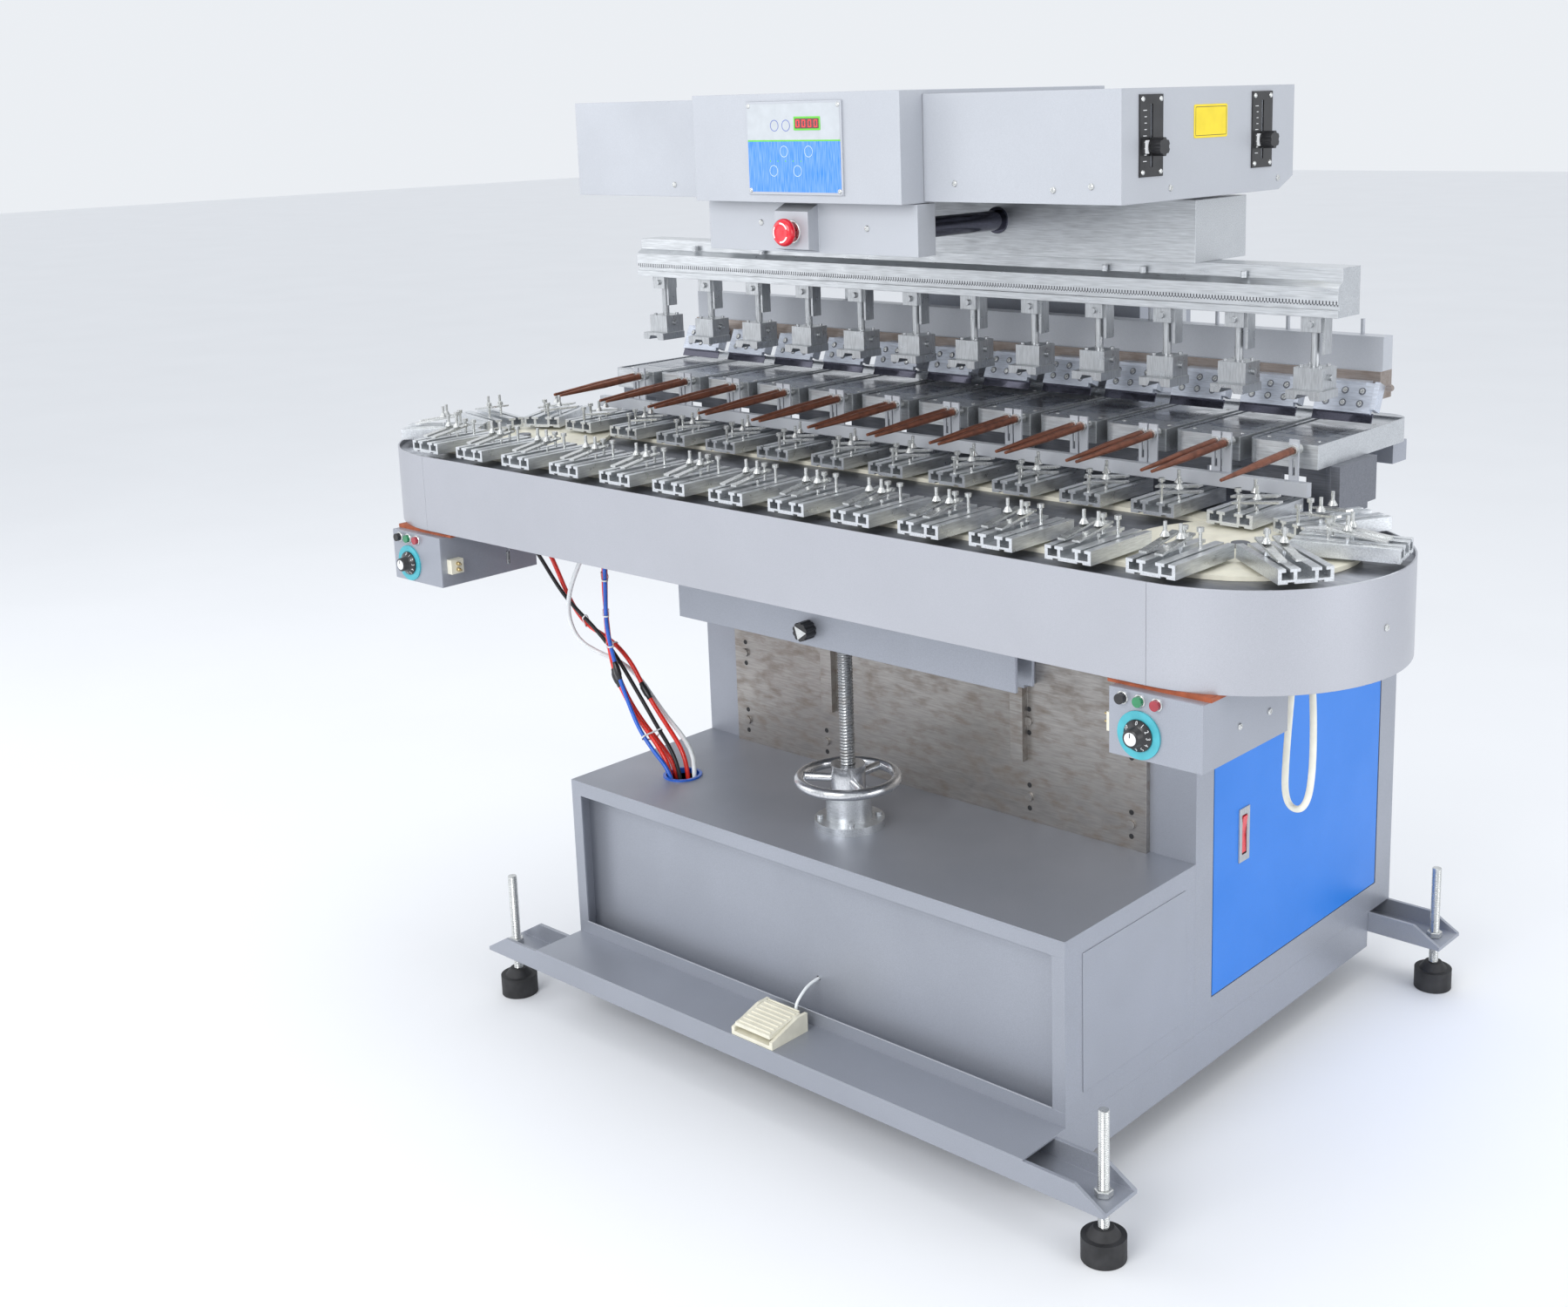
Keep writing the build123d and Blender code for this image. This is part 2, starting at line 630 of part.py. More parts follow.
def make_heaters():
    """Hot-air control boxes under the carousel ends, with dials and lamps."""
    y0 = heater_front
    y1 = heater_front + heater_depth
    z0 = heater_top - heater_height
    wall = 2.0
    x0 = heater_inner
    x1 = heater_inner + heater_width
    shell = brick(x0, x1, y0 + wall, y1, z0, heater_top)
    shell -= brick(x0 + wall, x1 - wall, y0 - 1, y1 - wall, z0 + wall, heater_top - wall)
    keep("heater_boxes", shell, mirrored(shell))
    guard = brick(x0 - 12, x1 + 2, carousel_middle_y - skirt_radius + 4, y1 + 6, heater_top, skirt_bottom)
    keep("heater_boxes", guard, mirrored(guard))
    panels, rings, greens, reds = [], [], [], []
    for side in (-1, 1):
        centre = side * (x0 + heater_width / 2)
        dial_x = centre - 22
        panel = brick(centre - heater_width / 2, centre + heater_width / 2, y0, y0 + wall, z0, heater_top)
        panel -= rod_y(dial_x, dial_z, y0 - 1, y0 + wall + 1, 4 + running_gap)
        for dx in lamp_offsets:
            panel -= rod_y(centre + dx, lamp_z, y0 - 1, y0 + wall + 1, 4 + running_gap)
        panels.append(panel)
        ring = rod_y(dial_x, dial_z, y0 - 2.5, y0, dial_ring_radius)
        ring -= rod_y(dial_x, dial_z, y0 - 4, y0 + 1, 12)
        rings.append(ring)
        dial = rod_y(dial_x, dial_z, y0 - 20, y0 - 2.5 - rest_gap, dial_radius)
        dial += rod_y(dial_x, dial_z, y0 - 4, y0 + wall + 6, 4)
        keep("temperature_dial_" + ("left", "right")[side > 0], dial)
        button = rod_y(centre + lamp_offsets[0], lamp_z, y0 - 9, y0 - 3.5, 6.5)
        button += rod_y(centre + lamp_offsets[0], lamp_z, y0 - 4, y0 + wall + 8, 4)
        keep("start_button_" + ("left", "right")[side > 0], button)
        for dx, group in ((lamp_offsets[1], greens), (lamp_offsets[2], reds)):
            lamp = rod_y(centre + dx, lamp_z, y0 - 7, y0, 6.5) + rod_y(centre + dx, lamp_z, y0 - 1, y0 + 8, 4)
            group.append(lamp)
    keep("heater_boxes", *panels)
    keep("heater_boxes", *rings)
    keep("indicator_lamps", *greens)
    keep("indicator_lamps", *reds)
    block = brick(x0 - 12, x0, y0 + 12, y0 + 36, z0 + 22, z0 + 46)
    keep("heater_boxes", block, mirrored(block))


def make_printing_frame():
    """Column, tray beam and arms that carry the head, trays and covers."""
    low = rear_cabinet_top
    column_top = cover_bottom + 3
    column = brick(-230, -190, column_front, column_front + 150, low, column_top)
    keep("printing_column", column, mirrored(column))
    web = brick(-190, 190, column_front, column_front + 12, low, column_top)
    for x in (-guide_rod_spacing / 2, guide_rod_spacing / 2):
        web -= rod_y(x, guide_rod_height, column_front - 1, column_front + 13, guide_rod_radius + running_gap)
    keep("printing_column", web)
    arm = brick(150, 190, estop_box_front + 40, column_front + 150, column_top, column_top + 26)
    keep("printing_column", arm, mirrored(arm))
    rear = tray_beam_front + tray_beam_depth
    half = (station_count * station_pitch) / 2 - 11
    bottom = tray_bottom - tray_beam_height
    beam_top = brick(-half, half, tray_beam_front, rear, tray_bottom - 8, tray_bottom)
    beam_low = brick(-half, half, tray_beam_front, rear, bottom, bottom + 8)
    keep("tray_beam", beam_top, beam_low)
    face = brick(-half, half, tray_beam_front, tray_beam_front + 6, bottom + 8, tray_bottom - 8)
    for x in stations:
        face -= brick(x - 18, x + 18, tray_beam_front - 1, tray_beam_front + 7, bottom + 34, bottom + 58)
    keep("tray_beam", face)
    end = brick(half, half + 6, tray_beam_front, rear, bottom, tray_bottom)
    keep("tray_beam", end, mirrored(end))
    stand = brick(380, 420, tray_beam_front + 10, rear, low, bottom)
    keep("printing_column", stand, mirrored(stand))
    rear_bar = brick(-half, half, tray_rear - 50, tray_rear - 8, tray_bottom - 30, tray_bottom)
    keep("printing_column", rear_bar)
    ties = []
    for x in (-400.0, 400.0):
        ties.append(brick(x - 15, x + 15, rear, tray_rear - 50, tray_bottom - 30, tray_bottom - 8))
    keep("printing_column", *ties)
    rods = []
    for x in (-guide_rod_spacing / 2, guide_rod_spacing / 2):
        rods.append(rod_y(x, guide_rod_height, estop_box_front + 4, column_front + 60, guide_rod_radius))
    keep("guide_rods", *rods)


def make_trays():
    """Twelve shallow ink trays with a rounded front corner and rear end."""
    trays = []
    half = tray_width / 2
    for x in stations:
        tray = brick(x - half, x + half, tray_front, tray_rear, tray_bottom, tray_bottom + tray_height)
        tray = fillet(tray.edges().filter_by(Axis.Z).group_by(Axis.Y)[0].sort_by(Axis.X)[0], 20)
        tray = fillet(tray.edges().filter_by(Axis.Z).group_by(Axis.Y)[-1], 38)
        pocket = brick(x - half + tray_wall, x + half - tray_wall, tray_front + 14, tray_rear - 24,
                       tray_bottom + tray_height - 3.5, tray_bottom + tray_height + 1)
        trays.append(tray - pocket)
    keep("ink_trays", *trays)
    plates = []
    for x in stations:
        plates.append(brick(x - half + tray_wall + 3, x + half - tray_wall - 3, tray_front + 18, tray_rear - 60,
                            tray_bottom + tray_height - 3.5, tray_bottom + tray_height - 1.5))
    keep("ink_trays", *plates)
    side = brick(straight_half - 11 + 6, straight_half - 11 + 20, tray_beam_front, tray_rear - 140,
                 tray_bottom - 62, tray_bottom - rest_gap)
    keep("tray_beam", side, mirrored(side))


def make_nozzles():
    """Blow-off rail, its slotted posts and the copper air tubes."""
    y0 = nozzle_rail_y
    y1 = y0 + 12
    top = nozzle_rail_bottom + nozzle_rail_height
    reach = straight_half - 3
    keep("nozzle_rail", brick(-reach, reach, y0, y1, nozzle_rail_bottom, top))
    hangers = []
    for x in (-560.0, -200.0, 200.0, 560.0):
        hangers.append(brick(x - 12, x + 12, y1, tray_beam_front, nozzle_rail_bottom + 2, top - 2))
    keep("nozzle_rail", *hangers)
    posts, tubes, nuts = [], [], []
    for index, x in enumerate(stations):
        post = brick(x + 22, x + 36, y1, y1 + 3, nozzle_rail_bottom, nozzle_tube_height + 14)
        post -= brick(x + 27, x + 31, y1 - 1, y1 + 4, top + 6, nozzle_tube_height - 12)
        spots = [x + 29] if index == station_count - 1 else [x + 29, x + 45]
        if len(spots) == 2:
            post += brick(x + 38.5, x + 52.5, y1, y1 + 3, nozzle_rail_bottom, nozzle_tube_height + 14)
        posts.append(post)
        for spot in spots:
            thick = rod_y(spot, nozzle_tube_height, y1 - 88, y1 - 7, 5.2)
            cone = Pos(spot, y1 - 88 - 48, nozzle_tube_height) * Rot(90, 0, 0) * Cone(5.2, 2.2, 96)
            pair = Pos(spot, y1, nozzle_tube_height) * Rot(3, 0, 0) * Pos(-spot, -y1, -nozzle_tube_height)
            tubes.append(pair * (thick + cone))
            nuts.append(rod_y(spot, nozzle_tube_height, y1 - 6, y1, 7.5))
            nuts.append(rod_y(spot, nozzle_tube_height, y1 + 3, y1 + 12, 7.5))
    keep("nozzle_rail", *posts)
    keep("air_tubes", *tubes)
    keep("nozzle_rail", *nuts)


def make_head():
    """Traversing block with bushings, and the hangers of the ink bar."""
    half = block_width / 2
    top = block_bottom + block_height
    block = brick(-half, half, block_front, block_rear, block_bottom, top)
    for x in (-guide_rod_spacing / 2, guide_rod_spacing / 2):
        block -= rod_y(x, guide_rod_height, block_front - 1, block_rear + 1, guide_rod_radius + 5)
    for x in beam_pin_spots:
        block -= rod_z(x, beam_front + beam_depth / 2, block_bottom - 1, top + 1, 10 + running_gap)
    keep("head_block", block)
    bushes = []
    for x in (-guide_rod_spacing / 2, guide_rod_spacing / 2):
        bush = rod_y(x, guide_rod_height, block_front - 3, block_rear + 3, guide_rod_radius + 5)
        bush -= rod_y(x, guide_rod_height, block_front - 4, block_rear + 4, guide_rod_radius + running_gap)
        bushes.append(bush)
    keep("head_block", *bushes)
    hangers = []
    for x in (-320.0, 320.0):
        plate_y = ink_bar_front + ink_bar_depth + sliding_gap
        hanger = brick(x - 25, x + 25, plate_y, plate_y + 12, ink_bar_bottom + 10, top)
        hanger += brick(x - 25, x + 25, block_rear, plate_y, block_bottom + 20, top)
        hangers.append(hanger)
    keep("head_block", *hangers)


def make_pad_beam():
    """Beam that carries the twelve pad holders and drops with them."""
    half = beam_width / 2
    y0 = beam_front
    y1 = beam_front + beam_depth
    z0 = beam_bottom
    z1 = beam_bottom + beam_height
    beam = side_profile([(y0 + 12, z1), (y1, z1), (y1, z0), (y0, z0), (y0, z1 - 26), (y0 + 12, z1 - 18)],
                        -half, half)
    beam -= brick(-half - 1, half + 1, y0 - 1, y0 + 4, z0 + 10, z0 + 18)
    keep("pad_beam", beam)
    pins = [rod_z(x, (y0 + y1) / 2, z1, block_bottom + block_height - 6, 10) for x in beam_pin_spots]
    keep("pad_beam", *pins)
    screws = []
    for x in (-547.0, -383.0, 317.0, 383.0, 547.0):
        screws.append(rod_z(x, y0 + 6, z1 - 18, z1 - 9, 4.5))
    keep("pad_beam", *screws)
    blocks, rods, holders, dovetails = [], [], [], []
    y = pad_axis_y
    for x in stations:
        clamp = brick(x - 15, x + 15, y - 15, y + 15, z0 - 22, z0)
        clamp -= rod_z(x, y, z0 - 23, z0 - 3, pad_rod_radius + running_gap)
        clamp += rod_y(x, z0 - 11, y - 19, y - 14, 4.5)
        clamp += brick(x + 15, x + 19, y - 10, y + 10, z0 - 52, z0)
        blocks.append(clamp)
        rods.append(rod_z(x, y, pad_holder_top - 22, z0 - 4, pad_rod_radius))
        holder = brick(x - 22, x + 22, y - 20, y + 20, pad_holder_top - 30, pad_holder_top)
        holder -= rod_z(x, y, pad_holder_top - 23, pad_holder_top + 1, pad_rod_radius + running_gap)
        for dx in (-14, 14):
            for dy in (-13, 13):
                holder += rod_z(x + dx, y + dy, pad_holder_top, pad_holder_top + 3, 3)
        holder += rod_x(y, pad_holder_top - 14, x + 22, x + 27, 4.5)
        holders.append(holder)
        low = pad_holder_top - 30
        shoe = front_profile([(x - 26, low - 12), (x + 26, low - 12), (x + 26, low), (x - 26, low)],
                             y - 34, y + 18)
        shoe -= front_profile([(x - 12, low - 13), (x - 8, low - 5), (x + 8, low - 5), (x + 12, low - 13)],
                              y - 35, y + 19)
        dovetails.append(shoe)
    keep("pad_holders", *blocks)
    keep("pad_holders", *rods)
    keep("pad_holders", *holders)
    keep("pad_holders", *dovetails)


def make_ink_bar():
    """Bar behind the trays with twelve doctor blade holders."""
    half = ink_bar_width / 2
    y0 = ink_bar_front
    y1 = y0 + ink_bar_depth
    z0 = ink_bar_bottom
    step = z0 + ink_bar_height * 0.45
    lower = brick(-half, half, y0 - 6, y1, z0, step)
    upper = brick(-half, half, y0, y1, step, z0 + ink_bar_height)
    keep("ink_bar", lower)
    keep("ink_bar", upper)
    screws = []
    for x in stations:
        screws.append(rod_y(x + 57, z0 + 18, y0 - 12, y0 - 6, 5))
        screws.append(rod_z(x, y1 - 10, z0 + ink_bar_height, z0 + ink_bar_height + 22, 3))
    keep("ink_bar", *screws)
    holders, blades = [], []
    tilt = 24.0
    for x in stations:
        seat = Pos(x, y0 - 30, z0 + 4) * Rot(-tilt, 0, 0)
        plate = seat * Box(86, 7, 44)
        ear = Pos(x + 47, y0 - 26, z0 + 6) * Rot(-tilt, 0, 0) * Box(7, 18, 40)
        bracket = brick(x - 30, x + 30, y0 - 26, y0 - 6, z0 + 8, z0 + 26)
        holders.append(plate + bracket + ear)
        blades.append(seat * Pos(0, 4.1, -27) * Box(92, 1.2, 14))
    keep("doctor_holders", *holders)
    keep("doctor_holders", *blades)


def make_covers():
    """Three sheet covers, the control panel and the speed sliders."""
    top = cover_bottom + cover_height
    wall = cover_sheet
    drop = 18.0
    outline = [(cover_front, cover_bottom), (cover_rear - 40, cover_bottom), (cover_rear, cover_bottom + drop),
               (cover_rear, top), (cover_front, top)]
    hollow = [(cover_front + wall, cover_bottom - 1), (cover_rear - 40 - wall, cover_bottom - 1),
              (cover_rear - wall, cover_bottom + drop), (cover_rear - wall, top - wall),
              (cover_front + wall, top - wall)]
    shell = side_profile(outline, cover_inner, cover_outer)
    shell -= side_profile(hollow, cover_inner + wall, cover_outer - wall)
    keep("side_covers", mirrored(shell))
    for y in slider_spots:
        shell -= brick(cover_outer - 10, cover_outer + 1, y - 3, y + 3, slider_mid - 40, slider_mid + 40)
    keep("side_covers", shell)
    front = panel_front
    box = brick(-cover_inner + panel_gap, cover_inner - panel_gap, front, cover_rear, cover_bottom - 2, top + 6)
    box -= brick(-cover_inner + wall, cover_inner - wall, front + wall, cover_rear + 1,
                 cover_bottom - 3, top + 6 - wall)
    box = fillet(box.edges().filter_by(Axis.Y).group_by(Axis.Z)[-1], 1.0)
    keep("control_box", box)
    keep("control_box", brick(-88, 98, front - 2, front, cover_bottom + 9, top - 5))
    keep("control_box", brick(7, 58, front - 3.2, front - 2, top - 46, top - 27))
    keys = []
    for x, below in ((-31, 39), (-8, 39), (-14, 75), (34, 75), (-35, 102), (12, 102)):
        keys.append(rod_y(x, top - below, front - 3.2, front - 2, 8))
    keep("control_box", *keys)
    plates = []
    for y in slider_spots:
        plate = brick(cover_outer, cover_outer + 2, y - 27, y + 27, slider_mid - 52, slider_mid + 52)
        plate -= brick(cover_outer - 1, cover_outer + 3, y - 3, y + 3, slider_mid - 40, slider_mid + 40)
        plates.append(plate)
    keep("slider_plates", *plates)
    for name, y in zip(("speed_knob_front", "speed_knob_rear"), slider_spots):
        z = slider_mid - 14
        knob = rod_x(y, z, cover_outer + 3, cover_outer + 22, 12)
        for i in range(6):
            angle = math.pi / 3 * i
            knob -= rod_x(y + 14 * math.cos(angle), z + 14 * math.sin(angle), cover_outer + 6,
                          cover_outer + 23, 4)
        knob += rod_x(y, z, cover_outer - 12, cover_outer + 4, 2.6)
        keep(name, knob)


def make_estop():
    """Bracket box under the control box with the mushroom button."""
    y0 = estop_box_front
    y1 = y0 + 38
    z1 = cover_bottom - 3
    z0 = z1 - 72
    half = 205.0
    box = brick(-half, half, y0, y1, z0, z1)
    for x in (-guide_rod_spacing / 2, guide_rod_spacing / 2):
        box -= rod_y(x, guide_rod_height, y0 + 4, y1 + 1, guide_rod_radius + running_gap)
    keep("front_bracket_box", box)
    hanger = brick(150, 190, y0 + 10, y1, z1, cover_bottom + 29)
    keep("front_bracket_box", hanger, mirrored(hanger))
    cx = -14.0
    housing = side_profile([(y0, z0 + 2), (y0 - 22, z0 + 6), (y0 - 22, z1 - 12), (y0, z1 - 2)], cx - 33, cx + 33)
    housing -= rod_y(cx, estop_z, y0 - 23, y0 + 1, 8 + running_gap)
    keep("front_bracket_box", housing)
    stem = rod_y(cx, estop_z, y0 - 36, y0 - 9, 8)
    head = rod_y(cx, estop_z, y0 - 46, y0 - 32, 20)
    head = fillet(head.edges().group_by(Axis.Y)[0], 5)
    keep("estop_button", head + stem)


def make_cords():
    """Cables and hoses along their real routes, listed as points by hand."""
    z_under = skirt_bottom
    z_top = 862.0
    keep("red_air_hoses", tube([(-531, 221, z_top), (-533, 221, 800), (-537, 222, 740), (-542, 223, 690),
                                (-543, 221, 640), (-539, 222, 590), (-524, 220, 545), (-498, 221, 506),
                                (-464, 218, 475), (-428, 217, 448), (-397, 214, 420), (-386, 214, 387),
                                (-384, 214, 350)], 4))
    keep("red_air_hoses", tube([(-547, 233, z_top), (-549, 233, 800), (-555, 234, 740), (-560, 235, 690),
                                (-558, 236, 640), (-553, 235, 590), (-537, 236, 541), (-508, 235, 498),
                                (-470, 234, 464), (-434, 232, 441), (-400, 229, 416), (-389, 229, 385),
                                (-387, 229, 350)], 4))
    keep("blue_air_hose", tube([(-518, 209, z_top), (-520, 209, 800), (-523, 208, 740), (-526, 209, 690),
                                (-526, 207, 640), (-516, 208, 592), (-497, 206, 548), (-478, 207, 506),
                                (-452, 205, 466), (-420, 206, 435), (-388, 206, 412), (-372, 207, 380),
                                (-370, 207, 345)], 3.5))
    keep("heater_power_cable", tube([(-728, heater_front + heater_depth, 765), (-728, 200, 765),
                                     (-727, 219, 748), (-721, 233, 720), (-706, 241, 690), (-682, 244, 662),
                                     (-650, 246, 638), (-612, 247, 616), (-574, 247, 590), (-543, 248, 560),
                                     (-512, 247, 527), (-478, 244, 494), (-440, 237, 463), (-398, 228, 434),
                                     (-378, 225, 400), (-374, 225, 360)], 3.5))
    keep("heater_supply_hose", tube([(-690, heater_front + heater_depth, 760), (-690, 204, 760),
                                     (-691, 226, 741), (-693, 243, 704), (-689, 256, 664), (-671, 261, 630),
                                     (-640, 262, 606), (-598, 262, 596), (-559, 262, 580), (-526, 262, 554),
                                     (-497, 259, 519), (-464, 257, 486), (-430, 254, 458), (-396, 248, 433),
                                     (-379, 244, 402), (-376, 243, 362)], 4))
    keep("white_spare_hose", tube([(-583, 228, z_top), (-585, 228, 800), (-600, 229, 752), (-625, 226, 710),
                                   (-645, 225, 668), (-648, 225, 625), (-628, 229, 588), (-594, 246, 568),
                                   (-562, 268, 552), (-526, 276, 528), (-493, 276, 497), (-456, 274, 468),
                                   (-414, 268, 447), (-374, 254, 425), (-357, 239, 396), (-355, 237, 360)], 4))
    keep("right_spare_hose", tube([(784, 250, z_under), (784, 250, 790), (787, 251, 745), (789, 250, 700),
                                   (788, 251, 655), (784, 250, 618), (773, 251, 600), (756, 254, 599),
                                   (746, 257, 616), (745, 260, 655), (747, 261, 700), (751, 260, 750),
                                   (753, 261, 793), (753, 261, z_under)], 4.5, 2.0))
    keep("pedal_cable", tube([(21, 77, 142), (21, 77, 158), (21, 89, 170), (21, 111, 183), (21, 143, 183)],
                             2.5, 3.0))


make_base()
make_lower_cabinet()
make_pedal()
make_rear_cabinet()
make_slide()
make_lift()
make_carousel_frame()
make_fixtures()
make_heaters()
make_printing_frame()
make_trays()
make_nozzles()
make_head()
make_pad_beam()
make_ink_bar()
make_covers()
make_estop()
make_cords()

cord_names = [name for name in nodes if "hose" in name or "cable" in name]
rigid = Compound([solid for name, group in nodes.items() if name not in cord_names for solid in group])
bounds = rigid.bounding_box()
origin_y = (bounds.min.Y + bounds.max.Y) / 2
print("origin y", origin_y, "bounds", bounds.min, bounds.max, "nodes", len(nodes))
for name, group in nodes.items():
    moved = [Pos(0, -origin_y, 0) * solid for solid in group]
    export_step(moved[0] if len(moved) == 1 else Compound(moved), f"parts/{name}.step")
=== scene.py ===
"""Looks of a twelve-station pad printing machine with an oval carousel.

Places are written in millimetres from the floor, the middle of the width and
the front edge of the base, as in the part's source, and become metres in the
row frame in one function.
"""

import math

import bpy
import numpy as np
from mathutils import Matrix


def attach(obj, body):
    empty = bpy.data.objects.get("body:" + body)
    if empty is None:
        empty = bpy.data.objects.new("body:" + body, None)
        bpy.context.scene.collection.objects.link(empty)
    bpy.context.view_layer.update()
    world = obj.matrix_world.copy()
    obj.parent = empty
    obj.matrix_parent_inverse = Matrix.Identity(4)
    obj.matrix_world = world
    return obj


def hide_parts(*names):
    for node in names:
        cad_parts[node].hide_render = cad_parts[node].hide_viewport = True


bl_info = {
    "name": "Pad printing machine",
    "version": (1, 0, 0),
    "blender": (4, 5, 0),
    "location": "View3D > Sidebar > Machine",
    "description": "Finishes and small pieces of a pad printing machine round its packed frame",
    "category": "Object",
}

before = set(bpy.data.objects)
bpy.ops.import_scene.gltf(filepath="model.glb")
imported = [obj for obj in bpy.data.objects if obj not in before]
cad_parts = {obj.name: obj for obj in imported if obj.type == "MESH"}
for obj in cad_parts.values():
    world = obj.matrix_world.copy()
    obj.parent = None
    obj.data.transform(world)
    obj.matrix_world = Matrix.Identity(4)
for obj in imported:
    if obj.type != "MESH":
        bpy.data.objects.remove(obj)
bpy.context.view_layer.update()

ORIGIN = np.array([0.0, 512.5, 0.0])
PITCH = 118.0
STATIONS = (np.arange(12) - 5.5) * PITCH
FINISHES = {}

# Places that several pieces share, in millimetres
SCREW_Y = 235.0
SLIDE_PLATE_FRONT = 418.0
COVER_SIDE_X = 526.0
SLIDER_SPOTS = (("front", 272.0), ("rear", 552.0))
SLIDER_Z = 1452.0
CONTROL_X = 5.0
CONTROL_Z = 1441.5
CONTROL_FRONT = 156.0
DISPLAY_X = 33.0
DISPLAY_Z = 1475.8
BRACKET_FRONT = 187.0
STOP_CENTRE = np.array([-14.0, BRACKET_FRONT, 1323.0])
HEATER_X = 728.0
HEATER_FRONT = -22.0
DIAL_Z = 764.0
BUTTON_Z = 806.0
LAMP_OFFSETS = (-46, -22, 2)
GROMMET_X = -372.0
GROMMET_Y = 226.0
LOCK_KNOB_X = -52.0
LOCK_KNOB_Z = 711.0
DOOR_SWITCH_Y = 564.0
DOOR_SWITCH_Z = 401.0

# The photograph's camera, fitted to the cabinet's edges
CAMERA_PLACE = (1.8750, -2.3169, 1.5078)
CAMERA_TURN = (41.3725, -12.327, -1.498)
PHOTO_WIDTH_PX = 1800
PHOTO_HEIGHT_PX = 1500
FOCAL_PX = 2153.86
CENTRE_X_PX = 1009.31
CENTRE_Y_PX = 583.43
SENSOR_WIDTH = 36.0


def row_frame(points):
    """Machine millimetres to row frame metres: take the origin away, divide by a thousand."""
    return (np.asarray(points, float) - ORIGIN) / 1000.0


# Properties


class MachineSizes(bpy.types.PropertyGroup):
    """Sizes of the small pieces that a user would change."""

    thread_pitch: bpy.props.FloatProperty(
        name="Thread pitch",
        description="Rise of the height screw in one turn",
        default=0.005,
        min=0.002,
        max=0.01,
        unit="LENGTH",
    )
    foot_thread_pitch: bpy.props.FloatProperty(
        name="Foot thread pitch",
        description="Rise of a levelling screw in one turn",
        default=0.0025,
        min=0.001,
        max=0.005,
        unit="LENGTH",
    )
    screw_head: bpy.props.FloatProperty(
        name="Screw head",
        description="Radius of the heads that hold the covers",
        default=0.0045,
        min=0.002,
        max=0.008,
        unit="LENGTH",
    )
    edge_round: bpy.props.FloatProperty(
        name="Edge round",
        description="Radius that the finishes give to sharp sheet edges",
        default=0.0012,
        min=0.0,
        max=0.005,
        unit="LENGTH",
    )
    round_sides: bpy.props.IntProperty(
        name="Round sides",
        description="Number of sides of a turned piece",
        default=40,
        min=12,
        max=96,
    )


class MachineColours(bpy.types.PropertyGroup):
    """Colours of the paints and plastics."""

    panel: bpy.props.FloatVectorProperty(
        name="Panels",
        description="Silver paint of the cabinets, base and skirts",
        subtype="COLOR",
        default=(0.36, 0.38, 0.43),
        min=0.0,
        max=1.0,
    )
    cover: bpy.props.FloatVectorProperty(
        name="Covers",
        description="Light paint of the head covers and the control box",
        subtype="COLOR",
        default=(0.50, 0.52, 0.56),
        min=0.0,
        max=1.0,
    )
    door: bpy.props.FloatVectorProperty(
        name="Door",
        description="Blue paint of the side door",
        subtype="COLOR",
        default=(0.0, 0.19, 0.72),
        min=0.0,
        max=1.0,
    )
    metal: bpy.props.FloatVectorProperty(
        name="Machined metal",
        description="Bare machined aluminium of the fixtures, trays and head",
        subtype="COLOR",
        default=(0.62, 0.64, 0.66),
        min=0.0,
        max=1.0,
    )
    cream: bpy.props.FloatVectorProperty(
        name="Cream",
        description="Wear strips, end wheels and the foot pedal",
        subtype="COLOR",
        default=(0.78, 0.75, 0.62),
        min=0.0,
        max=1.0,
    )


# Finishes


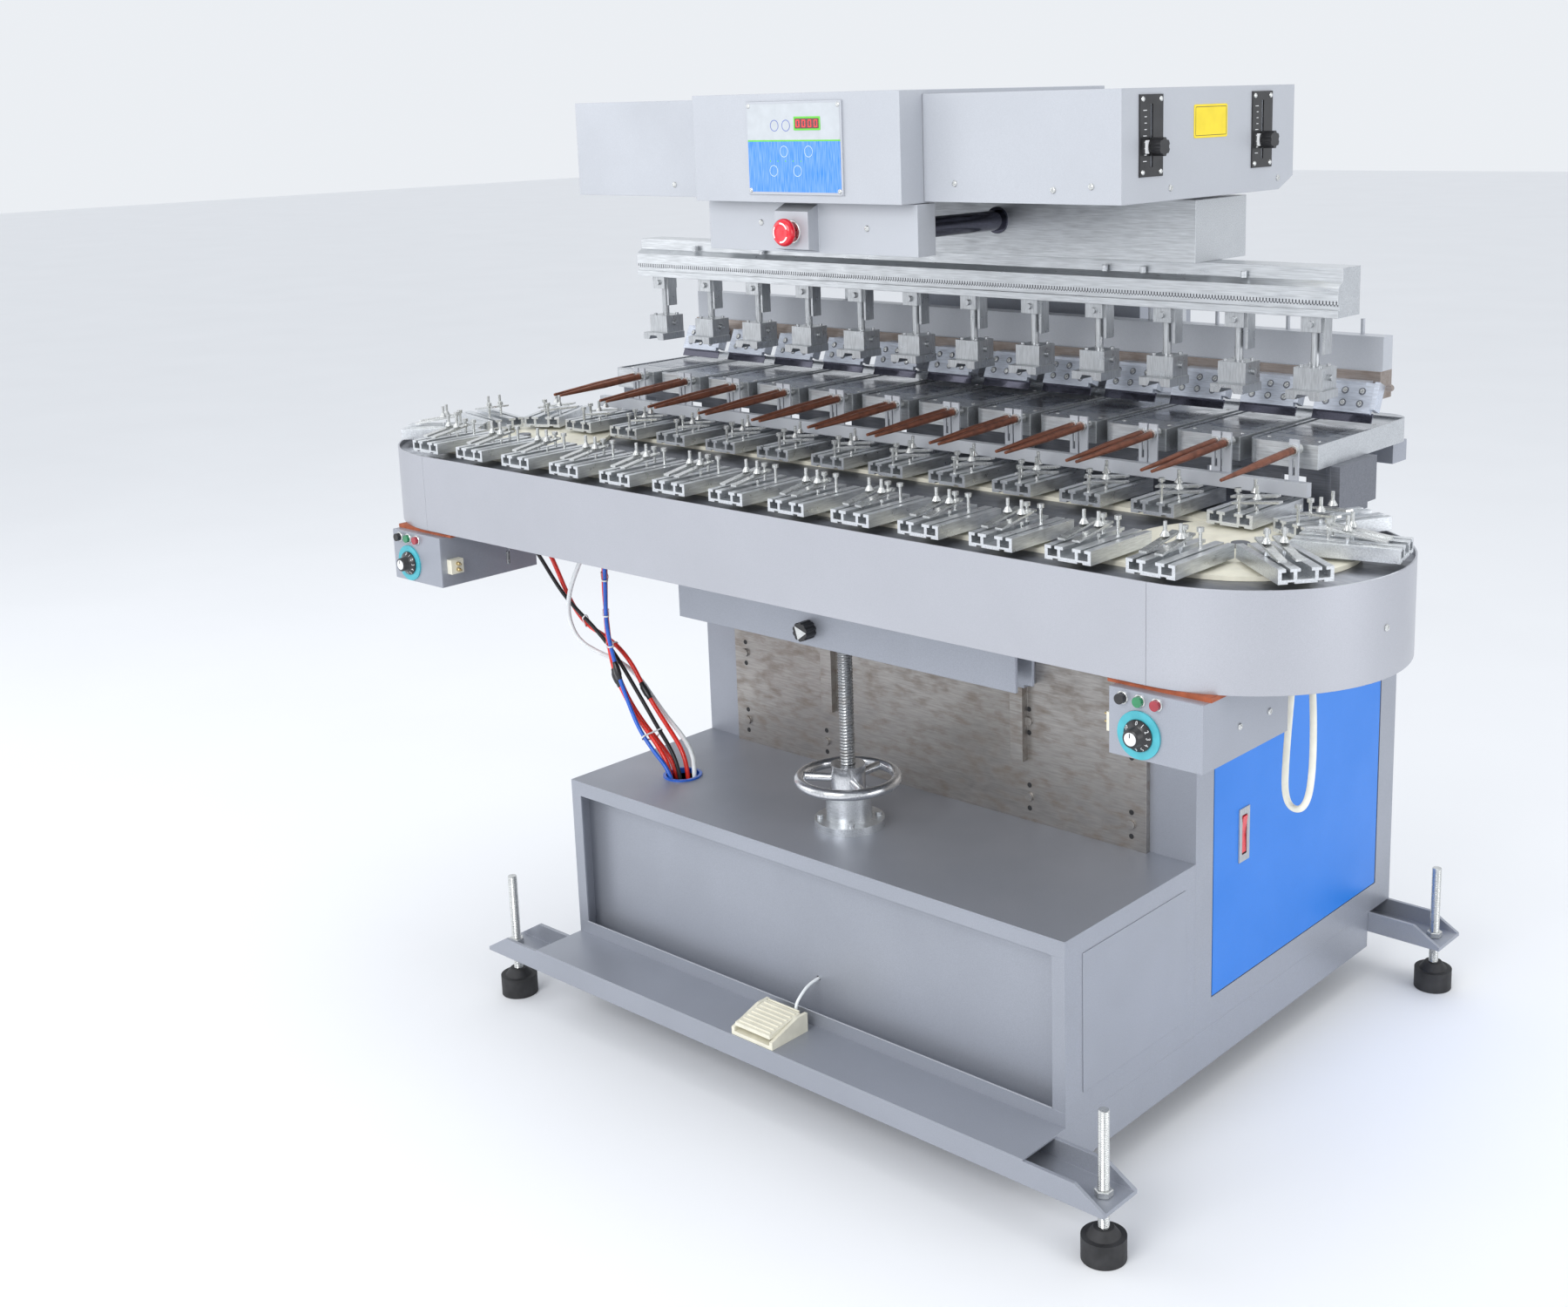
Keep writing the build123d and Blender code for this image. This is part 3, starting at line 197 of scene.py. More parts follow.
class Recipe:
    """A material's node tree, built one node at a time."""

    def __init__(self, name, colour, metallic, roughness):
        self.material = bpy.data.materials.new(name)
        self.material.use_nodes = True
        self.tree = self.material.node_tree
        self.shader = self.tree.nodes["Principled BSDF"]
        self.shader.inputs["Base Color"].default_value = (*colour, 1.0)
        self.shader.inputs["Metallic"].default_value = metallic
        self.shader.inputs["Roughness"].default_value = roughness
        self.place = self.node("ShaderNodeTexCoord").outputs["Object"]
        FINISHES[name] = self.material

    def node(self, kind, **settings):
        made = self.tree.nodes.new(kind)
        for key, value in settings.items():
            setattr(made, key, value)
        return made

    def link(self, source, target):
        self.tree.links.new(source, target)

    def noise(self, size, stretch=(1.0, 1.0, 1.0), detail=3.0):
        """Noise whose features are about size metres, stretched along the axes."""
        mapping = self.node("ShaderNodeMapping")
        mapping.inputs["Scale"].default_value = stretch
        self.link(self.place, mapping.inputs["Vector"])
        texture = self.node("ShaderNodeTexNoise")
        texture.inputs["Scale"].default_value = 1.0 / size
        texture.inputs["Detail"].default_value = detail
        self.link(mapping.outputs["Vector"], texture.inputs["Vector"])
        return texture.outputs["Fac"]

    def remap(self, value, low, high, out_low, out_high):
        """Straight line that takes low..high to out_low..out_high, held at its ends."""
        made = self.node("ShaderNodeMapRange")
        for name, number in zip(("From Min", "From Max", "To Min", "To Max"), (low, high, out_low, out_high)):
            made.inputs[name].default_value = number
        self.link(value, made.inputs["Value"])
        return made.outputs["Result"]

    def mix(self, share, first, second):
        """Colour between first and second by the share socket."""
        made = self.node("ShaderNodeMix", data_type="RGBA")
        self.link(share, made.inputs["Factor"])
        for socket, value in ((made.inputs[6], first), (made.inputs[7], second)):
            if isinstance(value, tuple):
                socket.default_value = (*value, 1.0)
            else:
                self.link(value, socket)
        return made.outputs[2]

    def maths(self, operation, *values):
        """One Math node; each value is a number or a socket."""
        made = self.node("ShaderNodeMath", operation=operation)
        for number, value in enumerate(values):
            if isinstance(value, (int, float)):
                made.inputs[number].default_value = value
            else:
                self.link(value, made.inputs[number])
        return made.outputs[0]

    def colour(self, socket):
        self.link(socket, self.shader.inputs["Base Color"])

    def roughness(self, socket):
        self.link(socket, self.shader.inputs["Roughness"])

    def relief(self, height, strength, depth, rounding):
        """Bump over rounded sheet edges."""
        bevel = self.node("ShaderNodeBevel", samples=3)
        bevel.inputs["Radius"].default_value = rounding
        bump = self.node("ShaderNodeBump")
        bump.inputs["Strength"].default_value = strength
        bump.inputs["Distance"].default_value = depth
        self.link(height, bump.inputs["Height"])
        self.link(bevel.outputs["Normal"], bump.inputs["Normal"])
        self.link(bump.outputs["Normal"], self.shader.inputs["Normal"])

    def worn_edges(self, rounding, gain):
        """Share of painted edge highlight: how far the rounded normal leans from the flat one."""
        bevel = self.node("ShaderNodeBevel", samples=3)
        bevel.inputs["Radius"].default_value = rounding
        flat = self.node("ShaderNodeNewGeometry")
        lean = self.node("ShaderNodeVectorMath", operation="DOT_PRODUCT")
        self.link(bevel.outputs["Normal"], lean.inputs[0])
        self.link(flat.outputs["True Normal"], lean.inputs[1])
        return self.remap(lean.outputs["Value"], 0.999, 0.8, 0.0, gain)


def shade(colour, share):
    """The colour scaled towards black or white."""
    return tuple(min(1.0, c * share) for c in colour)


def paint(name, colour, metallic, roughness, grain, rounding, coat=0.0):
    """Sprayed metallic paint: fine flakes, soft clouds of tone, lighter edges as a painted highlight."""
    r = Recipe(name, colour, metallic, roughness)
    flakes = r.noise(0.0011, detail=2.0)
    clouds = r.noise(0.18, detail=4.0)
    base = r.mix(r.remap(flakes, 0.3, 0.7, 0.0, 1.0), shade(colour, 1.0 - grain), shade(colour, 1.0 + grain))
    toned = r.mix(r.remap(clouds, 0.35, 0.65, 0.0, 0.35), base, shade(colour, 0.86))
    # Edges are mixed towards a lighter colour: a painted highlight.
    r.colour(r.mix(r.worn_edges(rounding, 0.55), toned, shade(colour, 1.5)))
    r.roughness(r.remap(clouds, 0.3, 0.7, roughness - 0.06, roughness + 0.08))
    r.relief(flakes, 0.16, 0.0003, rounding)
    r.shader.inputs["Coat Weight"].default_value = coat
    r.shader.inputs["Coat Roughness"].default_value = 0.25


def metal(name, colour, roughness, stretch, rounding, stain=None, stain_share=0.0, metallic=0.9):
    """Bare metal: tool marks along one axis, smudges and, where asked, stains; lighter edges as a painted
    highlight.
    """
    r = Recipe(name, colour, metallic, roughness)
    marks = r.noise(0.0016, stretch, 4.0)
    smudge = r.noise(0.014, (0.45, 1.0, 1.0), 6.0)
    base = r.mix(r.remap(marks, 0.3, 0.7, 0.0, 1.0), shade(colour, 0.82), shade(colour, 1.12))
    if stain:
        base = r.mix(r.remap(smudge, 0.48, 0.72, 0.0, stain_share), base, stain)
    # Edges are mixed towards a lighter colour: a painted highlight.
    r.colour(r.mix(r.worn_edges(rounding, 0.5), base, shade(colour, 1.4)))
    r.roughness(r.remap(smudge, 0.3, 0.7, roughness - 0.08, roughness + 0.12))
    r.relief(marks, 0.2, 0.0002, rounding)
    return r


def plastic(name, colour, roughness, speckle=0.05, coat=0.0):
    """Moulded plastic, enamel or rubber: a fine skin with faint dust in it."""
    r = Recipe(name, colour, 0.0, roughness)
    skin = r.noise(0.0009, detail=2.0)
    dust = r.noise(0.02, detail=4.0)
    low = shade(colour, 1.0 - speckle)
    high = tuple(min(1.0, c * (1.0 + speckle) + 0.01) for c in colour)
    r.colour(r.mix(r.remap(dust, 0.35, 0.7, 0.0, 1.0), low, high))
    r.roughness(r.remap(dust, 0.3, 0.7, roughness - 0.04, roughness + 0.08))
    r.relief(skin, 0.12, 0.0002, 0.0006)
    r.shader.inputs["Coat Weight"].default_value = coat


def glow(name, colour, strength):
    """Lit segment of the display, with faint unevenness across it."""
    r = Recipe(name, colour, 0.0, 0.3)
    r.colour(r.mix(r.noise(0.002), shade(colour, 0.7), colour))
    r.shader.inputs["Emission Color"].default_value = (*colour, 1.0)
    r.shader.inputs["Emission Strength"].default_value = strength


def ruled_metal(name, colour, step, band, rounding):
    """Beam face with a scale: a dark tick each step along X, between two heights."""
    r = metal(name, colour, 0.34, (0.05, 1.0, 1.0), rounding)
    split = r.node("ShaderNodeSeparateXYZ")
    r.link(r.place, split.inputs[0])
    tick = r.maths("LESS_THAN", r.maths("FRACT", r.maths("MULTIPLY", split.outputs["X"], 1.0 / step)), 0.34)
    inside = r.maths("COMPARE", split.outputs["Z"], sum(band) / 2, (band[1] - band[0]) / 2)
    before = r.shader.inputs["Base Color"].links[0].from_socket
    r.colour(r.mix(r.maths("MULTIPLY", tick, inside), before, (0.05, 0.05, 0.06)))


def striped_blue(name, colour):
    """Printed blue foil with faint upright stripes."""
    r = Recipe(name, colour, 0.0, 0.35)
    stripes = r.noise(0.0012, (1.0, 0.05, 0.05), 1.0)
    pale = tuple(c * 0.85 + 0.15 for c in colour)
    r.colour(r.mix(r.remap(stripes, 0.35, 0.65, 0.0, 1.0), shade(colour, 0.9), pale))
    r.relief(stripes, 0.04, 0.0001, 0.0004)
    r.shader.inputs["Coat Weight"].default_value = 0.4


def make_finishes(colours, sizes):
    """All materials, named after the pieces that wear them."""
    edge = sizes.edge_round
    panel = tuple(colours.panel)
    cover = tuple(colours.cover)
    bare = tuple(colours.metal)
    paint("panel paint", panel, 0.45, 0.42, 0.10, edge, 0.1)
    paint("cover paint", cover, 0.30, 0.46, 0.05, edge, 0.05)
    paint("door paint", tuple(colours.door), 0.1, 0.4, 0.05, edge, 0.25)
    paint("skirt sheet", (0.46, 0.47, 0.51), 0.55, 0.38, 0.06, edge, 0.1)
    metal("machined block", bare, 0.36, (0.06, 1.0, 1.0), edge)
    metal("fixture aluminium", shade(bare, 1.12), 0.33, (1.0, 0.08, 1.0), 0.0007)
    metal("holder steel", shade(bare, 0.80), 0.32, (1.0, 1.0, 0.1), 0.0008)
    metal("doctor plate", (0.60, 0.64, 0.72), 0.42, (0.1, 1.0, 1.0), 0.0006, metallic=0.6)
    metal("zinc steel", (0.66, 0.67, 0.66), 0.24, (0.2, 1.0, 1.0), 0.0004)
    metal("ground plate", (0.40, 0.38, 0.36), 0.42, (0.05, 1.0, 0.6), edge, (0.24, 0.19, 0.15), 0.6)
    metal("tray plate", (0.45, 0.47, 0.50), 0.28, (1.0, 0.04, 1.0), edge)
    metal("print area", (0.30, 0.32, 0.36), 0.22, (0.04, 1.0, 1.0), 0.0004)
    metal("dark rod", (0.10, 0.10, 0.13), 0.10, (1.0, 0.2, 1.0), edge)
    metal("beam grey", (0.22, 0.23, 0.26), 0.4, (0.05, 1.0, 1.0), edge)
    metal("tarnished copper", (0.23, 0.085, 0.05), 0.42, (1.0, 0.1, 1.0), 0.0006,
          (0.10, 0.04, 0.03), 0.7, 0.6)
    metal("brown bar", (0.36, 0.31, 0.28), 0.42, (0.05, 1.0, 1.0), edge, (0.20, 0.15, 0.12), 0.6)
    metal("screw steel", (0.36, 0.37, 0.38), 0.28, (1.0, 1.0, 0.4), 0.0005, (0.14, 0.10, 0.07), 0.4)
    metal("wheel aluminium", (0.66, 0.67, 0.69), 0.18, (1.0, 1.0, 0.3), edge)
    metal("brass terminal", (0.60, 0.48, 0.26), 0.3, (1.0, 1.0, 0.4), 0.0004)
    plastic("guard sheet", (0.36, 0.085, 0.03), 0.62, 0.25)
    plastic("cream enamel", tuple(colours.cream), 0.42, 0.05, 0.1)
    plastic("black plastic", (0.012, 0.012, 0.014), 0.34, 0.2, 0.2)
    plastic("black rubber", (0.02, 0.02, 0.022), 0.62, 0.3)
    plastic("red plastic", (0.72, 0.004, 0.02), 0.24, 0.06, 0.6)
    plastic("white plastic", (0.80, 0.81, 0.82), 0.36, 0.04, 0.2)
    plastic("teal ring", (0.06, 0.42, 0.50), 0.4, 0.08, 0.2)
    plastic("green lens", (0.0, 0.20, 0.07), 0.14, 0.15, 0.8)
    plastic("red lens", (0.33, 0.004, 0.02), 0.14, 0.15, 0.8)
    plastic("red hose", (0.80, 0.025, 0.012), 0.34, 0.12, 0.3)
    plastic("blue hose", (0.01, 0.12, 0.62), 0.34, 0.12, 0.3)
    plastic("black cable", (0.012, 0.012, 0.014), 0.42, 0.2)
    plastic("white hose", (0.82, 0.85, 0.86), 0.34, 0.04, 0.3)
    plastic("cream hose", (0.84, 0.82, 0.72), 0.36, 0.05, 0.2)
    plastic("yellow plate", (0.86, 0.66, 0.0), 0.4, 0.04, 0.3)
    plastic("panel foil", (0.50, 0.53, 0.56), 0.4, 0.04, 0.3)
    plastic("green line", (0.14, 0.62, 0.05), 0.4, 0.05)
    plastic("dark glass", (0.10, 0.0, 0.008), 0.1, 0.1, 0.8)
    plastic("pale ink", (0.62, 0.78, 0.93), 0.4, 0.03)
    plastic("blue ink", (0.10, 0.16, 0.55), 0.4, 0.05)
    striped_blue("panel blue", (0.0, 0.22, 0.80))
    glow("lit segment", (1.0, 0.03, 0.03), 1.6)
    ruled_metal("ruled beam", shade(bare, 1.0), 0.005, (1.2215, 1.2285), edge)


def dress(node, finish, zones=()):
    """Give a CAD node its finish; each zone repaints the faces whose middles its test picks."""
    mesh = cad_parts[node].data
    mesh.materials.clear()
    mesh.materials.append(FINISHES[finish])
    if not zones:
        return
    count = len(mesh.polygons)
    middles = np.zeros(count * 3)
    mesh.polygons.foreach_get("center", middles)
    middles = middles.reshape(-1, 3) * 1000.0 + ORIGIN
    indices = np.zeros(count, np.int32)
    for number, (name, test) in enumerate(zones, 1):
        mesh.materials.append(FINISHES[name])
        indices[test(middles[:, 0], middles[:, 1], middles[:, 2])] = number
    mesh.polygons.foreach_set("material_index", indices)


# Shapes


def mesh_piece(name, vertices, faces, finish, body, slot, smooth=False):
    """One object from millimetre vertices and faces of any size, riding on its body."""
    mesh = bpy.data.meshes.new(name)
    mesh.from_pydata(row_frame(vertices).tolist(), [], [list(map(int, face)) for face in faces])
    mesh.materials.append(FINISHES[finish])
    mesh.polygons.foreach_set("use_smooth", np.full(len(mesh.polygons), smooth))
    mesh.update()
    made = bpy.data.objects.new(name, mesh)
    bpy.context.scene.collection.objects.link(made)
    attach(made, body)
    return made


def grid_faces(rows, columns, closed_rows, closed_columns):
    """Quads of a rows x columns grid; a closed direction joins its last line to its first."""
    i = np.arange(rows if closed_rows else rows - 1)
    j = np.arange(columns if closed_columns else columns - 1)
    i, j = np.meshgrid(i, j, indexing="ij")
    a = i * columns + j
    b = i * columns + (j + 1) % columns
    c = ((i + 1) % rows) * columns + (j + 1) % columns
    d = ((i + 1) % rows) * columns + j
    return np.stack([a, b, c, d], -1).reshape(-1, 4)


def axis_frame(axis):
    """Two directions square to the axis, so that first x second is the axis."""
    axis = np.asarray(axis, float) / np.linalg.norm(axis)
    helper = np.array([0.0, 0.0, 1.0]) if abs(axis[2]) < 0.9 else np.array([1.0, 0.0, 0.0])
    first = np.cross(helper, axis)
    first /= np.linalg.norm(first)
    return first, np.cross(axis, first), axis


def turned(profile, centres, axis, sides=24):
    """Profile (radius, height) turned about the axis at each centre.

    Point = centre + radius (cos t first + sin t second) + height axis, for each
    height in turn and t round the circle, worked out for all centres at once.
    """
    profile = np.asarray(profile, float)
    centres = np.atleast_2d(np.asarray(centres, float))
    first, second, along = axis_frame(axis)
    t = np.arange(sides) * 2 * math.pi / sides
    ring = np.cos(t)[:, None] * first + np.sin(t)[:, None] * second
    one = profile[:, 0][:, None, None] * ring[None] + profile[:, 1][:, None, None] * along
    points = centres[:, None, None, :] + one[None]
    faces = grid_faces(len(profile), sides, False, True)
    step = len(profile) * sides
    all_faces = (np.arange(len(centres)) * step)[:, None, None] + faces[None]
    return points.reshape(-1, 3), all_faces.reshape(-1, 4)


def blocks(lows, highs):
    """Box for each pair of corners, as eight points and six faces."""
    lows = np.atleast_2d(np.asarray(lows, float))
    highs = np.atleast_2d(np.asarray(highs, float))
    pick = np.array([[0, 0, 0], [1, 0, 0], [1, 1, 0], [0, 1, 0], [0, 0, 1], [1, 0, 1], [1, 1, 1], [0, 1, 1]])
    points = np.where(pick[None], highs[:, None], lows[:, None])
    quads = np.array([[0, 3, 2, 1], [4, 5, 6, 7], [0, 1, 5, 4], [1, 2, 6, 5], [2, 3, 7, 6], [3, 0, 4, 7]])
    faces = (np.arange(len(lows)) * 8)[:, None, None] + quads[None]
    return points.reshape(-1, 3), faces.reshape(-1, 4)


def rounded_outline(width, height, radius, steps=6):
    """Corner arcs of a rounded rectangle about zero, as points in a plane."""
    t = np.linspace(0, math.pi / 2, steps)
    arc = np.stack([np.cos(t), np.sin(t)], -1) * radius
    corners = []
    for quarter, (sx, sy) in enumerate(((1, 1), (-1, 1), (-1, -1), (1, -1))):
        turn = quarter * math.pi / 2
        spin = np.array([[math.cos(turn), math.sin(turn)], [-math.sin(turn), math.cos(turn)]])
        centre = np.array([sx * (width / 2 - radius), sy * (height / 2 - radius)])
        corners.append(arc @ spin + centre)
    return np.concatenate(corners)


def plate(centre, across, up, width, height, radius, thickness, chamfer=0.4):
    """Rounded plate standing on a face: two outlines for its side, one smaller for its chamfer."""
    across = np.asarray(across, float)
    up = np.asarray(up, float)
    out = np.cross(across, up)
    rings = []
    for shrink, level in ((0, 0), (0, thickness - chamfer), (chamfer, thickness)):
        flat = rounded_outline(width - 2 * shrink, height - 2 * shrink, max(radius - shrink, 0.05))
        rings.append(flat[:, :1] * across + flat[:, 1:] * up + level * out)
    count = len(rings[0])
    points = np.concatenate(rings) + np.asarray(centre, float)
    faces = [list(f) for f in grid_faces(3, count, False, True)]
    faces.append(list(range(2 * count, 3 * count)))
    faces.append(list(range(count - 1, -1, -1)))
    return points, faces


def joined(parts):
    """Several shapes as one, their faces renumbered."""
    points, faces, base = [], [], 0
    for p, f in parts:
        points.append(np.asarray(p, float))
        faces.extend([[int(i) + base for i in face] for face in f])
        base += len(p)
    return np.concatenate(points), faces


def ragged_piece(name, shape, *look):
    """Object from a shape given as its points and faces together."""
    return mesh_piece(name, *shape, *look)


def soften(made, width):
    """Round the edges that turn by more than 40 degrees with a Bevel of two segments."""
    modifier = made.modifiers.new("edges", "BEVEL")
    modifier.width = width
    modifier.segments = 2
    modifier.limit_method = "ANGLE"
    modifier.angle_limit = math.radians(40.0)


def thread(centres, low, high, radius, depth, pitch, sides, per_turn):
    """Screw thread: radius falls by depth in a triangle wave of (height / pitch - turn share)."""
    count = int((high - low) / pitch * per_turn) + 1
    z = np.linspace(low, high, count)
    t = np.arange(sides) * 2 * math.pi / sides
    wave = np.abs(((z[:, None] / pitch - t[None] / (2 * math.pi)) % 1.0) * 2 - 1)
    r = radius - depth * (1 - wave)
    r[0] = 0.01
    r[-1] = 0.01
    r[1] = radius - depth
    r[-2] = radius - depth
    one = np.stack([r * np.cos(t), r * np.sin(t), np.repeat(z[:, None], sides, 1)], -1)
    one[0, :, 2] = z[1]
    one[-1, :, 2] = z[-2]
    centres = np.atleast_2d(np.asarray(centres, float))
    points = one[None] + np.pad(centres, ((0, 0), (0, 1)))[:, None, None, :]
    faces = grid_faces(count, sides, False, True)
    shift = (np.arange(len(centres)) * count * sides)[:, None, None]
    return points.reshape(-1, 3), (faces[None] + shift).reshape(-1, 4)


def band_round(centres, radius, direction, width, thickness, sides=48):
    """Flat tie round a bundle: the hull of circles about the cords, carried along the direction."""
    first, second, along = axis_frame(direction)
    centres = np.asarray(centres, float)
    middle = centres.mean(0)
    flat = np.stack([(centres - middle) @ first, (centres - middle) @ second], -1)
    t = np.arange(sides) * 2 * math.pi / sides
    ways = np.stack([np.cos(t), np.sin(t)], -1)
    reach = (flat @ ways.T).argmax(0)
    rings = []
    for level, grow in ((-0.5, 0.0), (-0.5, thickness), (0.5, thickness), (0.5, 0.0)):
        loop = flat[reach] + ways * (radius + grow)
        rings.append(middle + loop[:, :1] * first + loop[:, 1:] * second + level * width * along)
    points = np.concatenate(rings)
    return points, grid_faces(4, len(t), True, True)


def tube(path, radii, sides=14):
    """Circle of the given radius at each path point, square to the path there."""
    path = np.asarray(path, float)
    ways = np.gradient(path, axis=0)
    ways /= np.linalg.norm(ways, axis=1)[:, None]
    helper = np.array([0.3, 1.0, 0.2])
    first = np.cross(ways, helper)
    first /= np.linalg.norm(first, axis=1)[:, None]
    second = np.cross(ways, first)
    t = np.arange(sides) * 2 * math.pi / sides
    ring = np.cos(t)[None, :, None] * first[:, None] + np.sin(t)[None, :, None] * second[:, None]
    points = path[:, None] + np.asarray(radii, float)[:, None, None] * ring
    return points.reshape(-1, 3), grid_faces(len(path), sides, False, True)


# Stage


def make_stage():
    """Camera where the photograph was taken, soft lights, pale floor."""
    scene = bpy.context.scene
    camera = bpy.data.objects.new("camera", bpy.data.cameras.new("camera"))
    scene.collection.objects.link(camera)
    yaw, pitch, roll = (math.radians(v) for v in CAMERA_TURN)
    forward = np.array([-math.sin(yaw) * math.cos(pitch), math.cos(yaw) * math.cos(pitch), math.sin(pitch)])
    right = np.array([math.cos(yaw), math.sin(yaw), 0.0])
    up = np.cross(right, forward)
    right, up = (
        math.cos(roll) * right + math.sin(roll) * up,
        -math.sin(roll) * right + math.cos(roll) * up,
    )
    turn = Matrix(np.stack([right, up, -forward], 1).tolist()).to_4x4()
    camera.matrix_world = Matrix.Translation(CAMERA_PLACE) @ turn
    camera.data.sensor_fit = "HORIZONTAL"
    camera.data.sensor_width = SENSOR_WIDTH
    camera.data.lens = FOCAL_PX / PHOTO_WIDTH_PX * SENSOR_WIDTH
    camera.data.shift_x = (PHOTO_WIDTH_PX / 2 - CENTRE_X_PX) / PHOTO_WIDTH_PX
    camera.data.shift_y = (CENTRE_Y_PX - PHOTO_HEIGHT_PX / 2) / PHOTO_WIDTH_PX
    camera.data.clip_end = 60.0
    scene.camera = camera
    scene.view_settings.view_transform = "Standard"
    world = bpy.data.worlds.new("studio")
    scene.world = world
    world.use_nodes = True
    background = world.node_tree.nodes["Background"]
    background.inputs["Color"].default_value = (0.93, 0.96, 1.0, 1.0)
    background.inputs["Strength"].default_value = 0.9
    lights = (
        ("key", (0.6, -4.2, 2.8), 2.4, 95.0, (0.0, 0.0, 0.7)),
        ("fill", (-3.6, -2.4, 2.0), 3.0, 25.0, (0.0, 0.0, 0.8)),
        ("side", (4.4, 0.2, 1.8), 2.4, 45.0, (0.3, 0.0, 0.6)),
        ("top", (0.0, 0.6, 4.0), 3.0, 30.0, (0.0, 0.0, 0.8)),
    )
    for name, place, size, power, target in lights:
        data = bpy.data.lights.new(name, "AREA")
        data.size = size
        data.energy = power
        light = bpy.data.objects.new(name, data)
        scene.collection.objects.link(light)
        away = np.asarray(place) - np.asarray(target)
        first, second, along = axis_frame(away)
        light.matrix_world = Matrix.Translation(place) @ Matrix(
            np.stack([first, second, along], 1).tolist()
        ).to_4x4()
    reach = 30000.0
    floor_mesh = bpy.data.meshes.new("floor")
    corners = [(-reach, -reach, 0), (reach, -reach, 0), (reach, reach, 0), (-reach, reach, 0)]
    floor_mesh.from_pydata(row_frame(corners).tolist(), [], [(0, 1, 2, 3)])
    r = Recipe("floor", (0.86, 0.87, 0.89), 0.0, 0.75)
    r.colour(r.mix(r.noise(0.6), (0.84, 0.85, 0.87), (0.88, 0.89, 0.91)))
    floor_mesh.materials.append(r.material)
    floor = bpy.data.objects.new("floor", floor_mesh)
    floor.location.z = -0.0005
    scene.collection.objects.link(floor)


# Cords

ROUTES = {
    "red_air_hose_front": (
        "red_air_hoses", 4, 570, "red hose",
        [(-531, 221, 862), (-533, 221, 800), (-537, 222, 740), (-542, 223, 690), (-543, 221, 640),
         (-539, 222, 590), (-524, 220, 545), (-498, 221, 506), (-464, 218, 475), (-428, 217, 448),
         (-397, 214, 420), (-386, 214, 387), (-384, 214, 350)],
    ),
    "red_air_hose_rear": (
        "red_air_hoses", 4, 578, "red hose",
        [(-547, 233, 862), (-549, 233, 800), (-555, 234, 740), (-560, 235, 690), (-558, 236, 640),
         (-553, 235, 590), (-537, 236, 541), (-508, 235, 498), (-470, 234, 464), (-434, 232, 441),
         (-400, 229, 416), (-389, 229, 385), (-387, 229, 350)],
    ),
    "blue_air_hose_run": (
        "blue_air_hose", 3.5, 566, "blue hose",
        [(-518, 209, 862), (-520, 209, 800), (-523, 208, 740), (-526, 209, 690), (-526, 207, 640),
         (-516, 208, 592), (-497, 206, 548), (-478, 207, 506), (-452, 205, 466), (-420, 206, 435),
         (-388, 206, 412), (-372, 207, 380), (-370, 207, 345)],
    ),
    "heater_power_cable_run": (
        "heater_power_cable", 3.5, 598, "black cable",
        [(-728, 175, 765), (-728, 200, 765), (-727, 219, 748), (-721, 233, 720), (-706, 241, 690),
         (-682, 244, 662), (-650, 246, 638), (-612, 247, 616), (-574, 247, 590), (-543, 248, 560),
         (-512, 247, 527), (-478, 244, 494), (-440, 237, 463), (-398, 228, 434), (-378, 225, 400),
         (-374, 225, 360)],
    ),
    "heater_supply_hose_run": (
        "heater_supply_hose", 4, 596, "red hose",
        [(-690, 175, 760), (-690, 204, 760), (-691, 226, 741), (-693, 243, 704), (-689, 256, 664),
         (-671, 261, 630), (-640, 262, 606), (-598, 262, 596), (-559, 262, 580), (-526, 262, 554),
         (-497, 259, 519), (-464, 257, 486), (-430, 254, 458), (-396, 248, 433), (-379, 244, 402),
         (-376, 243, 362)],
    ),
    "white_spare_hose_run": (
        "white_spare_hose", 4, 677, "white hose",
        [(-583, 228, 862), (-585, 228, 800), (-600, 229, 752), (-625, 226, 710), (-645, 225, 668),
         (-648, 225, 625), (-628, 229, 588), (-594, 246, 568), (-562, 268, 552), (-526, 276, 528),
         (-493, 276, 497), (-456, 274, 468), (-414, 268, 447), (-374, 254, 425), (-357, 239, 396),
         (-355, 237, 360)],
    ),
    "right_spare_hose_run": (
        "right_spare_hose", 4.5, 468, "cream hose",
        [(784, 250, 823), (784, 250, 790), (787, 251, 745), (789, 250, 700), (788, 251, 655),
         (784, 250, 618), (773, 251, 600), (756, 254, 599), (746, 257, 616), (745, 260, 655),
         (747, 261, 700), (751, 260, 750), (753, 261, 793), (753, 261, 823)],
    ),
    "pedal_cable_run": (
        "pedal_cable", 2.5, 89, "white hose",
        [(21, 77, 142), (21, 77, 158), (21, 89, 170), (21, 111, 183), (21, 143, 183)],
    ),
}


def make_cord(name, node, radius, finish, points):
    """Smooth NURBS curve along the route's points, as thick as the real cord."""
    data = bpy.data.curves.new(name, "CURVE")
    data.dimensions = "3D"
    spline = data.splines.new("NURBS")
    spline.points.add(len(points) - 1)
    flat = np.c_[row_frame(points), np.ones(len(points))].ravel()
    spline.points.foreach_set("co", flat)
    spline.order_u = 3
    spline.use_endpoint_u = True
    spline.resolution_u = 12
    data.bevel_depth = radius / 1000.0
    data.bevel_resolution = 5
    data.use_fill_caps = True
    data.materials.append(FINISHES[finish])
    made = bpy.data.objects.new(name, data)
    bpy.context.scene.collection.objects.link(made)
    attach(made, "carousel" if node == "right_spare_hose" else "machine_frame")
    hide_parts(node)


def along(points, low, high, count):
    """Points of a route's line between two heights, evenly spaced."""
    points = np.asarray(points, float)
    order = np.argsort(points[:, 2])
    z = np.linspace(low, high, count)
    flat = points[order]
    return np.stack([np.interp(z, flat[:, 2], flat[:, k]) for k in range(2)] + [z], -1)


